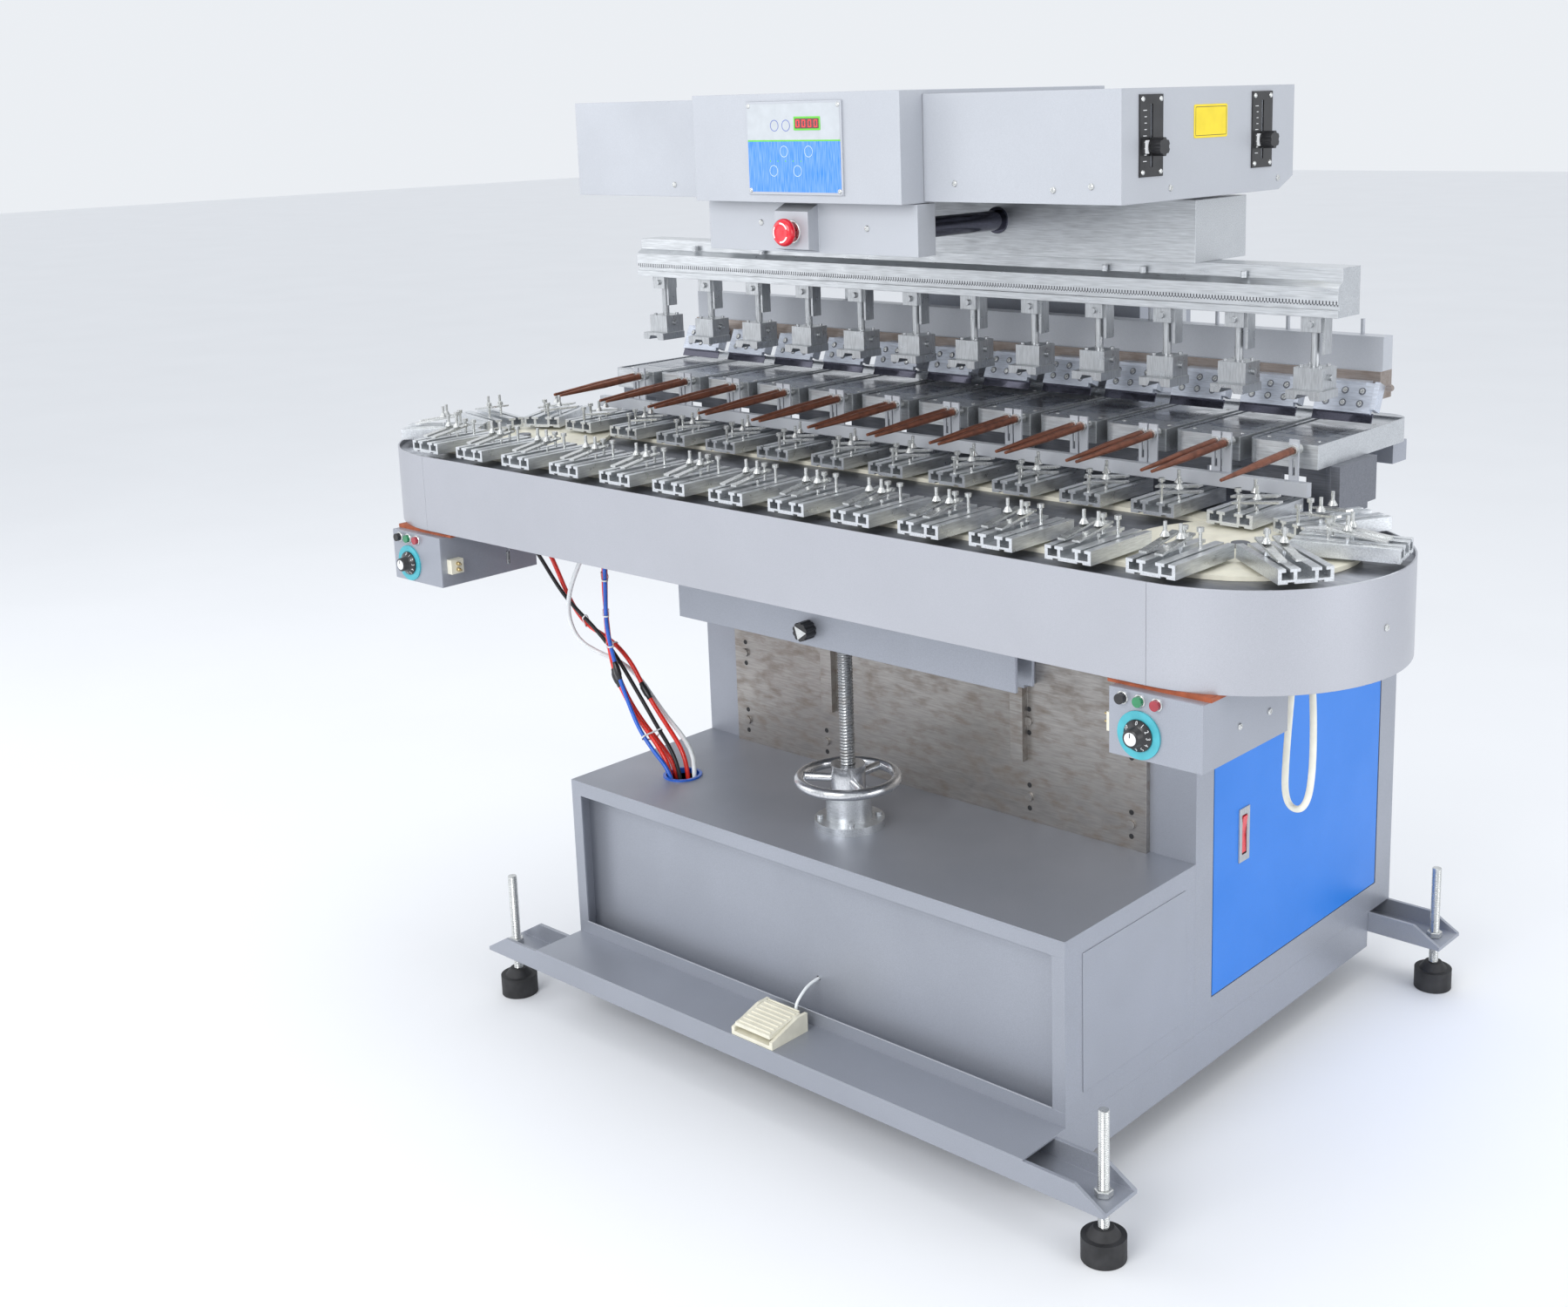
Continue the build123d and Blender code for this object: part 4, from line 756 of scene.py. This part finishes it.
def make_hose_fittings():
    """Black couplings and white ties on the hoses."""
    shapes = []
    for name, low, high, radius in (
        ("red_air_hose_front", 525, 562, 6.4),
        ("red_air_hose_rear", 536, 572, 6.4),
        ("blue_air_hose_run", 545, 580, 5.8),
        ("heater_supply_hose_run", 500, 530, 6.2),
    ):
        path = along(ROUTES[name][4], low, high, 10)
        swell = radius * np.array([0.01, 0.8, 0.8, 1.0, 1.0, 1.0, 1.0, 0.8, 0.8, 0.01])
        shapes.append(tube(path, swell))
    points, faces = joined(shapes)
    ragged_piece("hose_couplings", (points, faces), "black plastic", "machine_frame", "black_plastic", True)
    ties = []
    bundles = (
        (("red_air_hose_front", "red_air_hose_rear", "blue_air_hose_run"), (720, 655, 600)),
        (("red_air_hose_front", "red_air_hose_rear", "blue_air_hose_run", "heater_power_cable_run"), (455,)),
        (("heater_power_cable_run", "heater_supply_hose_run"), (618, 585)),
    )
    for names, levels in bundles:
        for level in levels:
            ends = np.array([along(ROUTES[n][4], level - 3, level + 3, 2) for n in names])
            lower, upper = ends[:, 0], ends[:, 1]
            ties.append(band_round((lower + upper) / 2, 4.6, (upper - lower).mean(0), 2.6, 1.0))
    ragged_piece("hose_ties", joined(ties), "white plastic", "machine_frame", "white_hose")


# Turned and threaded pieces


def make_spring_hook():
    """Small return spring on its hook beside the left heater box, with its thin line."""
    x, y, top, pan_bottom = -590.0, 60.0, 790.0, 823.0
    turns, coil_radius, rise = 14, 2.6, 1.5
    t = np.linspace(0, turns * 2 * math.pi, turns * 12)
    z = top - t / (2 * math.pi) * rise
    coil = np.stack([x + coil_radius * np.cos(t), y + coil_radius * np.sin(t), z], -1)
    hook = np.stack([np.full(12, x), np.full(12, y + coil_radius), np.linspace(pan_bottom, top, 12)], -1)
    shapes = [tube(coil, np.full(len(coil), 0.6), 6), tube(hook, np.full(12, 0.7), 8)]
    ragged_piece("return_spring", joined(shapes), "screw steel", "carousel", "bright_steel", True)


def make_screws_and_threads(sizes):
    """Height screw, levelling screws and the cover screws."""
    pitch = sizes.thread_pitch * 1000
    points, faces = thread([(0, SCREW_Y)], 182, 714, 12.0, 1.5, pitch, 28, 6)
    screw = mesh_piece("height_screw_thread", points, faces, "screw steel", "carousel", "bright_steel")
    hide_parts("height_screw")
    spots = [(x, y) for x in (-613.5, 613.5) for y in (39, 1028)]
    pitch = sizes.foot_thread_pitch * 1000
    points, faces = thread(spots, 22, 216, 8.0, 1.0, pitch, 18, 4)
    nut = np.array([[0.01, 0], [11.5, 0], [13, 1.2], [13, 8.8], [11.5, 10], [0.01, 10]])
    nuts = []
    for x, y in spots:
        for low in (75, 91):
            nuts.append(turned(nut, (x, y, low), (0, 0, 1), 6))
    shape = joined([(points, faces)] + nuts)
    rods = ragged_piece("levelling_screw_threads", shape, "zinc steel", "machine_frame", "bright_steel")
    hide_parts("levelling_screws")
    head = sizes.screw_head * 1000
    profile = np.array([[head, 0], [head, 0.8], [head * 0.8, 1.8], [head * 0.45, 2.2],
                        [head * 0.4, 1.4], [0.01, 1.4]])
    front_cover = [(256, 206, 1392), (420, 206, 1385), (-300, 206, 1385), (480, 206, 1390)]
    bracket = [(-96, BRACKET_FRONT, 1333), (112, BRACKET_FRONT, 1329)]
    side = [(COVER_SIDE_X, 320, 1383), (COVER_SIDE_X, 600, 1383)]
    heater = [(793, 60, 770), (793, 130, 770), (-793, 60, 770), (-793, 130, 770)]
    facing = [turned(profile, np.array(front_cover + bracket), (0, -1, 0), 20)]
    facing.append(turned(profile, side, (1, 0, 0), 20))
    ragged_piece("cover_screws", joined(facing), "zinc steel", "machine_frame", "bright_steel")
    shapes = [turned(profile, heater[:2], (1, 0, 0), 20), turned(profile, heater[2:], (-1, 0, 0), 20)]
    skirt_turn = 1.45
    outward = (math.sin(skirt_turn), -math.cos(skirt_turn), 0.0)
    shapes.append(turned(profile, (708 + 213 * outward[0], 201 + 213 * outward[1], 886), outward, 20))
    ragged_piece("heater_box_screws", joined(shapes), "zinc steel", "carousel", "bright_steel")
    ring = np.array([[7.0, 0.02], [7.0, 0.5], [5.2, 0.5], [4.6, -2.5], [0.01, -2.5]])
    holes, heads = [], []
    for x in (-404, -215, 215, 404):
        for z in (437, 561):
            heads.append((x, SLIDE_PLATE_FRONT, z))
            holes.extend([(x, SLIDE_PLATE_FRONT, z + 19), (x, SLIDE_PLATE_FRONT, z - 19)])
    small = np.array([[4.2, 0.0], [4.2, 0.25], [0.01, 0.25]])
    ragged_piece("slide_plate_screw_rims", turned(ring, heads, (0, -1, 0), 24),
                 "zinc steel", "machine_frame", "bright_steel")
    # Flat black discs where the plate has holes: painted shade inside the holes.
    ragged_piece("slide_plate_holes", turned(small, holes, (0, -1, 0), 20),
                 "black rubber", "machine_frame", "rubber")


def make_doctor_screws():
    """Six socket screws on each doctor blade plate, lying on its tilted face, each over a dark ring that is a
    painted shadow.
    """
    tilt = math.radians(-24)
    normal = np.array([0.0, -math.cos(tilt), -math.sin(tilt)])
    upward = np.array([0.0, -math.sin(tilt), math.cos(tilt)])
    across = np.array([1.0, 0.0, 0.0])
    grid = [(dx, dz) for dx in (-26, 0, 26) for dz in (-9, 9)]
    seats = np.array([[x, 582, 1082] for x in STATIONS])
    centres = np.array([s + dx * across + dz * upward + 3.5 * normal for s in seats for dx, dz in grid])
    profile = np.array([[3.6, 0], [3.6, 1.4], [3.1, 1.8], [2.0, 1.8], [1.8, 0.8], [0.01, 0.8]])
    points, faces = turned(profile, centres, normal, 14)
    mesh_piece("doctor_plate_screws", points, faces, "zinc steel", "ink_bar", "machined")
    # Dark grey ring under each screw head: a painted shadow round the screw.
    shadow_ring = np.array([[5.4, 0], [5.4, 0.25], [3.7, 0.25]])
    points, faces = turned(shadow_ring, centres, normal, 16)
    mesh_piece("doctor_plate_screw_shadow_rings", points, faces, "beam grey", "ink_bar", "machined")


# Controls


def make_control_face():
    """Bare front foil in grey and blue, a red four-digit display and key rings."""
    body, slot = "machine_frame", "cover_grey"
    across, up = (1, 0, 0), (0, 0, 1)
    front = CONTROL_FRONT
    rim = plate((CONTROL_X, front, CONTROL_Z), across, up, 186, 131, 5, 1.0)
    soften(ragged_piece("control_rim", rim, "cover paint", body, slot), 0.0002)
    upper = plate((CONTROL_X, front - 1.0, 1478.5), across, up, 180, 51, 1.5, 0.3, 0.1)
    ragged_piece("control_foil_upper", upper, "panel foil", body, slot)
    lower = plate((CONTROL_X, front - 1.0, 1415.5), across, up, 180, 71, 1.5, 0.3, 0.1)
    ragged_piece("control_foil_lower", lower, "panel blue", body, slot)
    line = plate((CONTROL_X, front - 1.0, 1452.0), across, up, 180, 2.2, 0.3, 0.34, 0.1)
    frame_green = plate((DISPLAY_X, front - 1.3, DISPLAY_Z), across, up, 51, 19, 1.0, 0.5, 0.1)
    ragged_piece("control_green", joined([line, frame_green]), "green line", body, slot)
    glass = plate((DISPLAY_X, front - 1.8, DISPLAY_Z), across, up, 46, 14, 0.6, 0.3, 0.1)
    ragged_piece("display_glass", glass, "dark glass", body, slot)
    lows, highs = [], []
    segments = {
        "a": (-2.4, 4.2, 2.4, 5.0), "b": (2.2, 0.3, 3.0, 4.6), "c": (2.2, -4.6, 3.0, -0.3),
        "d": (-2.4, -5.0, 2.4, -4.2), "e": (-3.0, -4.6, -2.2, -0.3), "f": (-3.0, 0.3, -2.2, 4.6),
        "g": (-2.4, -0.4, 2.4, 0.4),
    }
    for x in (15.7, 27.2, 38.7, 50.2):
        for key in "abcdef":
            x0, z0, x1, z1 = segments[key]
            lows.append((x + x0, front - 2.25, DISPLAY_Z + z0))
            highs.append((x + x1, front - 2.1, DISPLAY_Z + z1))
    points, faces = blocks(lows, highs)
    mesh_piece("display_digits", points, faces, "lit segment", body, slot)
    ring = np.array([[8.0, 0], [8.0, 0.25], [7.2, 0.25], [7.2, 0]])
    pale = [(-13.5, front - 1.3, 1437), (34.4, front - 1.3, 1437), (-34.8, front - 1.3, 1409.8),
            (12.1, front - 1.3, 1409.8)]
    dark = [(-30.9, front - 1.3, 1473.2), (-8.2, front - 1.3, 1473.2)]
    points, faces = turned(ring, pale, (0, -1, 0), 36)
    mesh_piece("key_rings_lower", points, faces, "pale ink", body, slot)
    points, faces = turned(ring, dark, (0, -1, 0), 36)
    mesh_piece("key_rings_upper", points, faces, "blue ink", body, slot)
    dot = np.array([[1.1, 0], [1.1, 0.25], [0.01, 0.25]])
    spots = [(x, front - 1.3, 1423.5) for x in (-41, -26, -11, 4, 19)]
    points, faces = turned(dot, spots, (0, -1, 0), 16)
    mesh_piece("key_lamps", points, faces, "green line", body, slot)
    screw = np.array([[3.6, 0], [3.4, 1.0], [2.4, 1.6], [1.0, 1.8], [0.01, 1.2]])
    corners = [(x, front - 1.0, z) for x in (-82, 92) for z in (1382, 1501)]
    points, faces = turned(screw, corners, (0, -1, 0), 20)
    mesh_piece("control_screws", points, faces, "zinc steel", body, "bright_steel", True)


def make_speed_sliders():
    """Scales, pointers and screws of the two speed sliders, and the bare yellow plate."""
    x = COVER_SIDE_X + 2.0
    heads, lows, highs = [], [], []
    for _, y in SLIDER_SPOTS:
        heads.extend([(x, y + dy, SLIDER_Z + dz) for dz in (-46, 46) for dy in (-21, 21)])
        for step in range(9):
            z = SLIDER_Z - 32 + step * 8
            wide = 8 if step % 4 == 0 else 5
            lows.append((x, y - 12 - wide, z - 0.5))
            highs.append((x + 0.3, y - 12, z + 0.5))
    profile = np.array([[3.4, 0], [3.2, 1.2], [2.2, 2.0], [0.8, 2.2], [0.01, 1.6]])
    points, faces = turned(profile, heads, (1, 0, 0), 18)
    mesh_piece("slider_screws", points, faces, "zinc steel", "machine_frame", "bright_steel", True)
    points, faces = blocks(lows, highs)
    mesh_piece("slider_scales", points, faces, "white plastic", "machine_frame", "black_plastic")
    for end, y in SLIDER_SPOTS:
        pointer = plate((x + 0.3, y - 6, SLIDER_Z - 14), (0, 1, 0), (0, 0, 1), 20, 17, 1.5, 2.2)
        ragged_piece("slider_pointer_" + end, pointer, "white plastic", "speed_knob_" + end, "black_plastic")
    plate_y, plate_z, border = 418.0, 1467.0, 0.7
    yellow = plate((COVER_SIDE_X, plate_y, plate_z), (0, 1, 0), (0, 0, 1), 84, 44, 3, 0.9)
    ragged_piece("yellow_plate", yellow, "yellow plate", "machine_frame", "cover_grey")
    outer = rounded_outline(78, 38, 2.0)
    inner = rounded_outline(78 - 2 * border, 38 - 2 * border, 1.4)
    flat = np.concatenate([outer, inner])
    points = np.c_[np.full(len(flat), COVER_SIDE_X + 1.0), flat[:, 0] + plate_y, flat[:, 1] + plate_z]
    faces = grid_faces(2, len(outer), False, True)[:, ::-1]
    mesh_piece("yellow_plate_border", points, faces, "black plastic", "machine_frame", "cover_grey")


def make_stop_button():
    """Red mushroom head turned from its profile, with three pale arcs on its face."""
    centre = STOP_CENTRE
    profile = np.array([[7.9, 9], [7.9, 30], [12, 31], [17, 32], [19.4, 34], [20, 37], [19.2, 41], [17, 44],
                        [13, 45.6], [11.5, 45.2], [6, 45.5], [0.01, 45.6]])
    points, faces = turned(profile, centre, (0, -1, 0), 48)
    head = mesh_piece("stop_button_head", points, faces, "red plastic", "estop_button", "red_plastic", True)
    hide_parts("estop_button")
    arcs = []
    for start in (0.4, 2.5, 4.6):
        t = np.linspace(start, start + 1.25, 14)
        rows = []
        for radius, lift in ((12.2, 45.75), (14.6, 45.55)):
            rows.append(np.stack([centre[0] + radius * np.cos(t), np.full(len(t), centre[1] - lift),
                                  centre[2] + radius * np.sin(t)], -1))
        arcs.append((np.concatenate(rows), grid_faces(2, len(t), False, False)[:, ::-1]))
    ragged_piece("stop_button_arcs", joined(arcs), "white plastic", "estop_button", "red_plastic")
    collar = np.array([[17.5, 0], [17.5, 1], [16.5, 1.8], [8.5, 1.8], [8.5, 0]])
    points, faces = turned(collar, centre + [0, -22, 0], (0, -1, 0), 40)
    mesh_piece("stop_button_collar", points, faces, "zinc steel", "machine_frame", "bright_steel", True)


def make_dials():
    """Skirted black dials with numbers round them, white caps and the push buttons."""
    for side, suffix in ((-1, "left"), (1, "right")):
        body = "temperature_dial_" + suffix
        x = side * HEATER_X - 22.0
        centre = np.array([x, HEATER_FRONT, DIAL_Z])
        skirt = np.array([[19.6, 3.0], [20.0, 3.6], [19.6, 5.0], [12.6, 9.0], [11.8, 9.6], [11.2, 19.2],
                          [10.4, 20.0], [0.01, 20.0]])
        points, faces = turned(skirt, centre, (0, -1, 0), 48)
        dial = mesh_piece("dial_" + suffix, points, faces, "black plastic", body, "black_plastic", True)
        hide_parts(body)
        cap = np.array([[8.2, 19.8], [8.2, 20.6], [7.6, 21.2], [0.01, 21.4]])
        points, faces = turned(cap, centre, (0, -1, 0), 32)
        mesh_piece("dial_cap_" + suffix, points, faces, "white plastic", body, "black_plastic", True)
        points, faces = blocks([(x - 0.6, HEATER_FRONT - 21.7, 766)], [(x + 0.6, HEATER_FRONT - 21.3, 771.5)])
        mesh_piece("dial_mark_" + suffix, points, faces, "black plastic", body, "black_plastic")
        digits = []
        for number in range(11):
            data = bpy.data.curves.new("digit", "FONT")
            data.body = str(number)
            data.size = 0.0062
            data.align_x = "CENTER"
            data.align_y = "CENTER"
            made = bpy.data.objects.new("digit", data)
            mesh = bpy.data.meshes.new_from_object(made)
            count = len(mesh.vertices)
            flat = np.zeros(count * 3)
            mesh.vertices.foreach_get("co", flat)
            flat = flat.reshape(-1, 3) * 1000
            turn = math.radians(90 - number * 30)
            away = 16.4 + flat[:, 1]
            u = away * math.cos(turn) + flat[:, 0] * math.sin(turn)
            v = away * math.sin(turn) - flat[:, 0] * math.cos(turn)
            out = np.hypot(u, v)
            height = 5.0 + (19.6 - out) * 4.0 / 7.0 + 0.25
            points = np.stack([x + u, HEATER_FRONT - height, DIAL_Z + v], -1)
            digits.append((points, [tuple(p.vertices) for p in mesh.polygons]))
            bpy.data.objects.remove(made)
            bpy.data.curves.remove(data)
            bpy.data.meshes.remove(mesh)
        ragged_piece("dial_numbers_" + suffix, joined(digits), "white plastic", body, "black_plastic")
        button = np.array([[6.4, 3.5], [6.5, 8.0], [5.8, 8.9], [0.01, 9.0]])
        row = [(side * HEATER_X + dx, HEATER_FRONT, BUTTON_Z) for dx in LAMP_OFFSETS]
        points, faces = turned(button, row[0], (0, -1, 0), 28)
        mesh_piece("push_button_" + suffix, points, faces, "black plastic", "start_button_" + suffix,
                   "black_plastic", True)
        bezel = np.array([[8.2, 0], [8.2, 1.6], [7.2, 2.4], [6.7, 2.4], [6.7, 0]])
        points, faces = turned(bezel, row, (0, -1, 0), 28)
        mesh_piece("lamp_bezels_" + suffix, points, faces, "zinc steel", "carousel", "bright_steel")
        bolts = np.array([[3.2, 0], [3.2, 5], [2.4, 6], [1.6, 6], [1.6, 10], [0.01, 10]])
        inner = side * 651.0
        spots = [(inner, 2, 762), (inner, 2, 772)]
        points, faces = turned(bolts, spots, (-side, 0, 0), 16)
        mesh_piece("terminal_bolts_" + suffix, points, faces, "brass terminal", "carousel", "machined")


# Trays, panels and dressing


def make_tray_detail():
    """Etched print area and two dowel holes on each tray plate."""
    lows = np.stack([STATIONS - 30, np.full(12, 470.0), np.full(12, 1043.55)], -1)
    highs = np.stack([STATIONS + 30, np.full(12, 560.0), np.full(12, 1043.8)], -1)
    points, faces = blocks(lows, highs)
    mesh_piece("tray_print_areas", points, faces, "print area", "machine_frame", "machined")
    spots = np.array([(x + dx, y, 1043.5) for x in STATIONS for dx in (-38, 38) for y in (440.0, 600.0)])
    dowel = np.array([[3.2, 0], [3.2, 0.4], [2.4, 0.5], [2.2, 0.1], [0.01, 0.1]])
    points, faces = turned(dowel, spots, (0, 0, 1), 16)
    mesh_piece("tray_dowels", points, faces, "zinc steel", "machine_frame", "machined")


def make_panel_lines():
    """Raised access panel on the cabinet's right side, its twin on the left and seams."""
    for suffix, x, across in (("right", 510.0, (0, 1, 0)), ("left", -510.0, (0, -1, 0))):
        shape = plate((x, 270.0, 262.0), across, (0, 0, 1), 262, 208, 2.0, 1.4, 0.5)
        made = ragged_piece("access_panel_" + suffix, shape, "panel paint", "machine_frame", "panel_grey")
        soften(made, 0.0003)
    back = plate((0, 643.0, 1441.5), (-1, 0, 0), (0, 0, 1), 396, 146, 2.0, 1.5, 0.5)
    ragged_piece("control_box_back", back, "cover paint", "machine_frame", "cover_grey")
    bead = blocks([(-488, 96.2, 145.2), (-488, 98, 368.6)], [(488, 98, 146.4), (488, 98.01, 368.7)])
    mesh_piece("recess_bead", *bead, "cover paint", "machine_frame", "panel_grey")


def dress_each(finish, *nodes):
    """Give several CAD nodes the same finish."""
    for node in nodes:
        dress(node, finish)


def dress_base():
    """Cabinets, base, slide, feet and pedal."""
    dress_each("panel paint", "base_plate_and_skirts", "outriggers", "rear_cabinet_panels")
    dress_each("cream enamel", "pedal_housing", "pedal_tread")
    dress("levelling_screws", "zinc steel")
    dress("rubber_feet", "black rubber")
    dress("lower_cabinet_panels", "panel paint", [
        ("blue hose", lambda x, y, z: (np.hypot(x - GROMMET_X, y - GROMMET_Y) < 33.2) & (z > 390.5)),
    ])
    dress("slide_plate", "ground plate")
    dress("bearing_flange", "machined block")
    dress("handwheel", "wheel aluminium")
    dress("height_screw", "screw steel")
    dress("lock_knob", "black plastic", [
        ("zinc steel", lambda x, y, z: np.hypot(x - LOCK_KNOB_X, z - LOCK_KNOB_Z) < 7.0),
    ])
    dress("blue_side_door", "door paint", [
        ("holder steel", lambda x, y, z: (
            (np.abs(y - DOOR_SWITCH_Y) < 15.5) & (np.abs(z - DOOR_SWITCH_Z) < 43.5) & (x > 493)
        )),
    ])
    dress("switch_rocker", "red plastic")


def dress_carousel():
    """Skirts, deck, strips, wheels, fixtures and heater boxes."""
    dress("lift_channel", "panel paint")
    dress_each("skirt sheet", "straight_skirts", "end_skirts")
    dress_each("beam grey", "carousel_pan", "carousel_deck")
    dress_each("cream enamel", "chain_strips", "right_end_wheel", "left_end_wheel")
    dress_each("fixture aluminium", "front_row_fixtures", "back_row_fixtures")
    for node in ("right_wheel_fixtures", "left_wheel_fixtures"):
        dress(node, "fixture aluminium", [("zinc steel", lambda x, y, z: z > 973.0)])
    dress_each("zinc steel", "front_row_clamps", "back_row_clamps")
    dress("heater_boxes", "panel paint", [
        ("guard sheet", lambda x, y, z: z > 817.01),
        ("teal ring", lambda x, y, z: y < HEATER_FRONT - 0.01),
        ("cream enamel", lambda x, y, z: (np.abs(x) < 662.99) & (z < 817)),
    ])
    dress("indicator_lamps", "green lens", [
        ("red lens", lambda x, y, z: (np.abs(x - 730) < 9) | (np.abs(x + 726) < 9)),
    ])
    dress_each("black plastic", "start_button_left", "start_button_right",
               "temperature_dial_left", "temperature_dial_right")


def dress_head():
    """Column, beams, trays, head, holders and covers."""
    dress("printing_column", "panel paint")
    dress("tray_beam", "beam grey")
    dress("guide_rods", "dark rod")
    dress("ink_trays", "tray plate", [("machined block", lambda x, y, z: z < 1041.2)])
    dress("nozzle_rail", "cover paint", [
        ("zinc steel", lambda x, y, z: (z > 999.5) & ((y < 386) | (y > 389.2))),
    ])
    dress("air_tubes", "tarnished copper")
    dress("head_block", "machined block", [
        ("dark rod", lambda x, y, z: np.hypot(np.abs(x) - 134, z - 1324) < 20.1),
    ])
    dress("pad_beam", "ruled beam")
    dress("pad_holders", "holder steel")
    dress("ink_bar", "cover paint", [("brown bar", lambda x, y, z: z < 1117.1)])
    dress("doctor_holders", "doctor plate", [("dark rod", lambda x, y, z: z < 1062.0)])
    dress_each("cover paint", "side_covers", "control_box", "front_bracket_box")
    dress_each("black plastic", "slider_plates", "speed_knob_front", "speed_knob_rear")
    dress("estop_button", "red plastic")


# Operators


class MACHINE_OT_finishes(bpy.types.Operator):
    """Make every material of the machine"""

    bl_idname = "machine.finishes"
    bl_label = "Finishes"

    def execute(self, context):
        make_finishes(context.scene.machine_colours, context.scene.machine_sizes)
        return {"FINISHED"}


class MACHINE_OT_stage(bpy.types.Operator):
    """Make the camera, the lights and the floor"""

    bl_idname = "machine.stage"
    bl_label = "Stage"

    def execute(self, context):
        make_stage()
        return {"FINISHED"}


class MACHINE_OT_cords(bpy.types.Operator):
    """Make the hoses and cables along their routes"""

    bl_idname = "machine.cords"
    bl_label = "Hoses and cables"

    def execute(self, context):
        for name, (node, radius, length, finish, points) in ROUTES.items():
            make_cord(name, node, radius, finish, points)
        make_hose_fittings()
        return {"FINISHED"}


class MACHINE_OT_base(bpy.types.Operator):
    """Dress the base, the cabinets and the slide"""

    bl_idname = "machine.base"
    bl_label = "Base and cabinets"

    def execute(self, context):
        dress_base()
        make_panel_lines()
        return {"FINISHED"}


class MACHINE_OT_carousel(bpy.types.Operator):
    """Dress the carousel with its fixtures and heater boxes"""

    bl_idname = "machine.carousel"
    bl_label = "Carousel"

    def execute(self, context):
        dress_carousel()
        make_spring_hook()
        return {"FINISHED"}


class MACHINE_OT_head(bpy.types.Operator):
    """Dress the printing head, the trays and the covers"""

    bl_idname = "machine.head"
    bl_label = "Printing head"

    def execute(self, context):
        dress_head()
        make_tray_detail()
        make_doctor_screws()
        return {"FINISHED"}


class MACHINE_OT_screws(bpy.types.Operator):
    """Make the threaded screws and the screw heads"""

    bl_idname = "machine.screws"
    bl_label = "Screws and threads"

    def execute(self, context):
        make_screws_and_threads(context.scene.machine_sizes)
        return {"FINISHED"}


class MACHINE_OT_control_face(bpy.types.Operator):
    """Make the control foil, its display and its keys"""

    bl_idname = "machine.control_face"
    bl_label = "Control face"

    def execute(self, context):
        make_control_face()
        return {"FINISHED"}


class MACHINE_OT_sliders(bpy.types.Operator):
    """Make the scales, pointers and screws of the speed sliders"""

    bl_idname = "machine.sliders"
    bl_label = "Speed sliders"

    def execute(self, context):
        make_speed_sliders()
        return {"FINISHED"}


class MACHINE_OT_stop_button(bpy.types.Operator):
    """Make the red stop button"""

    bl_idname = "machine.stop_button"
    bl_label = "Stop button"

    def execute(self, context):
        make_stop_button()
        return {"FINISHED"}


class MACHINE_OT_dials(bpy.types.Operator):
    """Make the temperature dials, push buttons and terminals"""

    bl_idname = "machine.dials"
    bl_label = "Dials and buttons"

    def execute(self, context):
        make_dials()
        return {"FINISHED"}


STEPS = (
    MACHINE_OT_finishes,
    MACHINE_OT_stage,
    MACHINE_OT_cords,
    MACHINE_OT_base,
    MACHINE_OT_carousel,
    MACHINE_OT_head,
    MACHINE_OT_screws,
    MACHINE_OT_control_face,
    MACHINE_OT_sliders,
    MACHINE_OT_stop_button,
    MACHINE_OT_dials,
)


class MACHINE_PT_panel(bpy.types.Panel):
    """Lists the machine's steps, sizes and colours"""

    bl_label = "Pad printing machine"
    bl_idname = "MACHINE_PT_panel"
    bl_space_type = "VIEW_3D"
    bl_region_type = "UI"
    bl_category = "Machine"

    def draw(self, context):
        for step in STEPS:
            self.layout.operator(step.bl_idname)
        for group in (context.scene.machine_sizes, context.scene.machine_colours):
            for key in group.__annotations__:
                self.layout.prop(group, key)


CLASSES = (MachineSizes, MachineColours, *STEPS, MACHINE_PT_panel)


def register():
    for kind in CLASSES:
        bpy.utils.register_class(kind)
    bpy.types.Scene.machine_sizes = bpy.props.PointerProperty(type=MachineSizes)
    bpy.types.Scene.machine_colours = bpy.props.PointerProperty(type=MachineColours)


def unregister():
    del bpy.types.Scene.machine_colours
    del bpy.types.Scene.machine_sizes
    for kind in reversed(CLASSES):
        bpy.utils.unregister_class(kind)


def main():
    register()
    for step in STEPS:
        category, name = step.bl_idname.split(".")
        getattr(getattr(bpy.ops, category), name)()


if __name__ == "__main__":
    main()
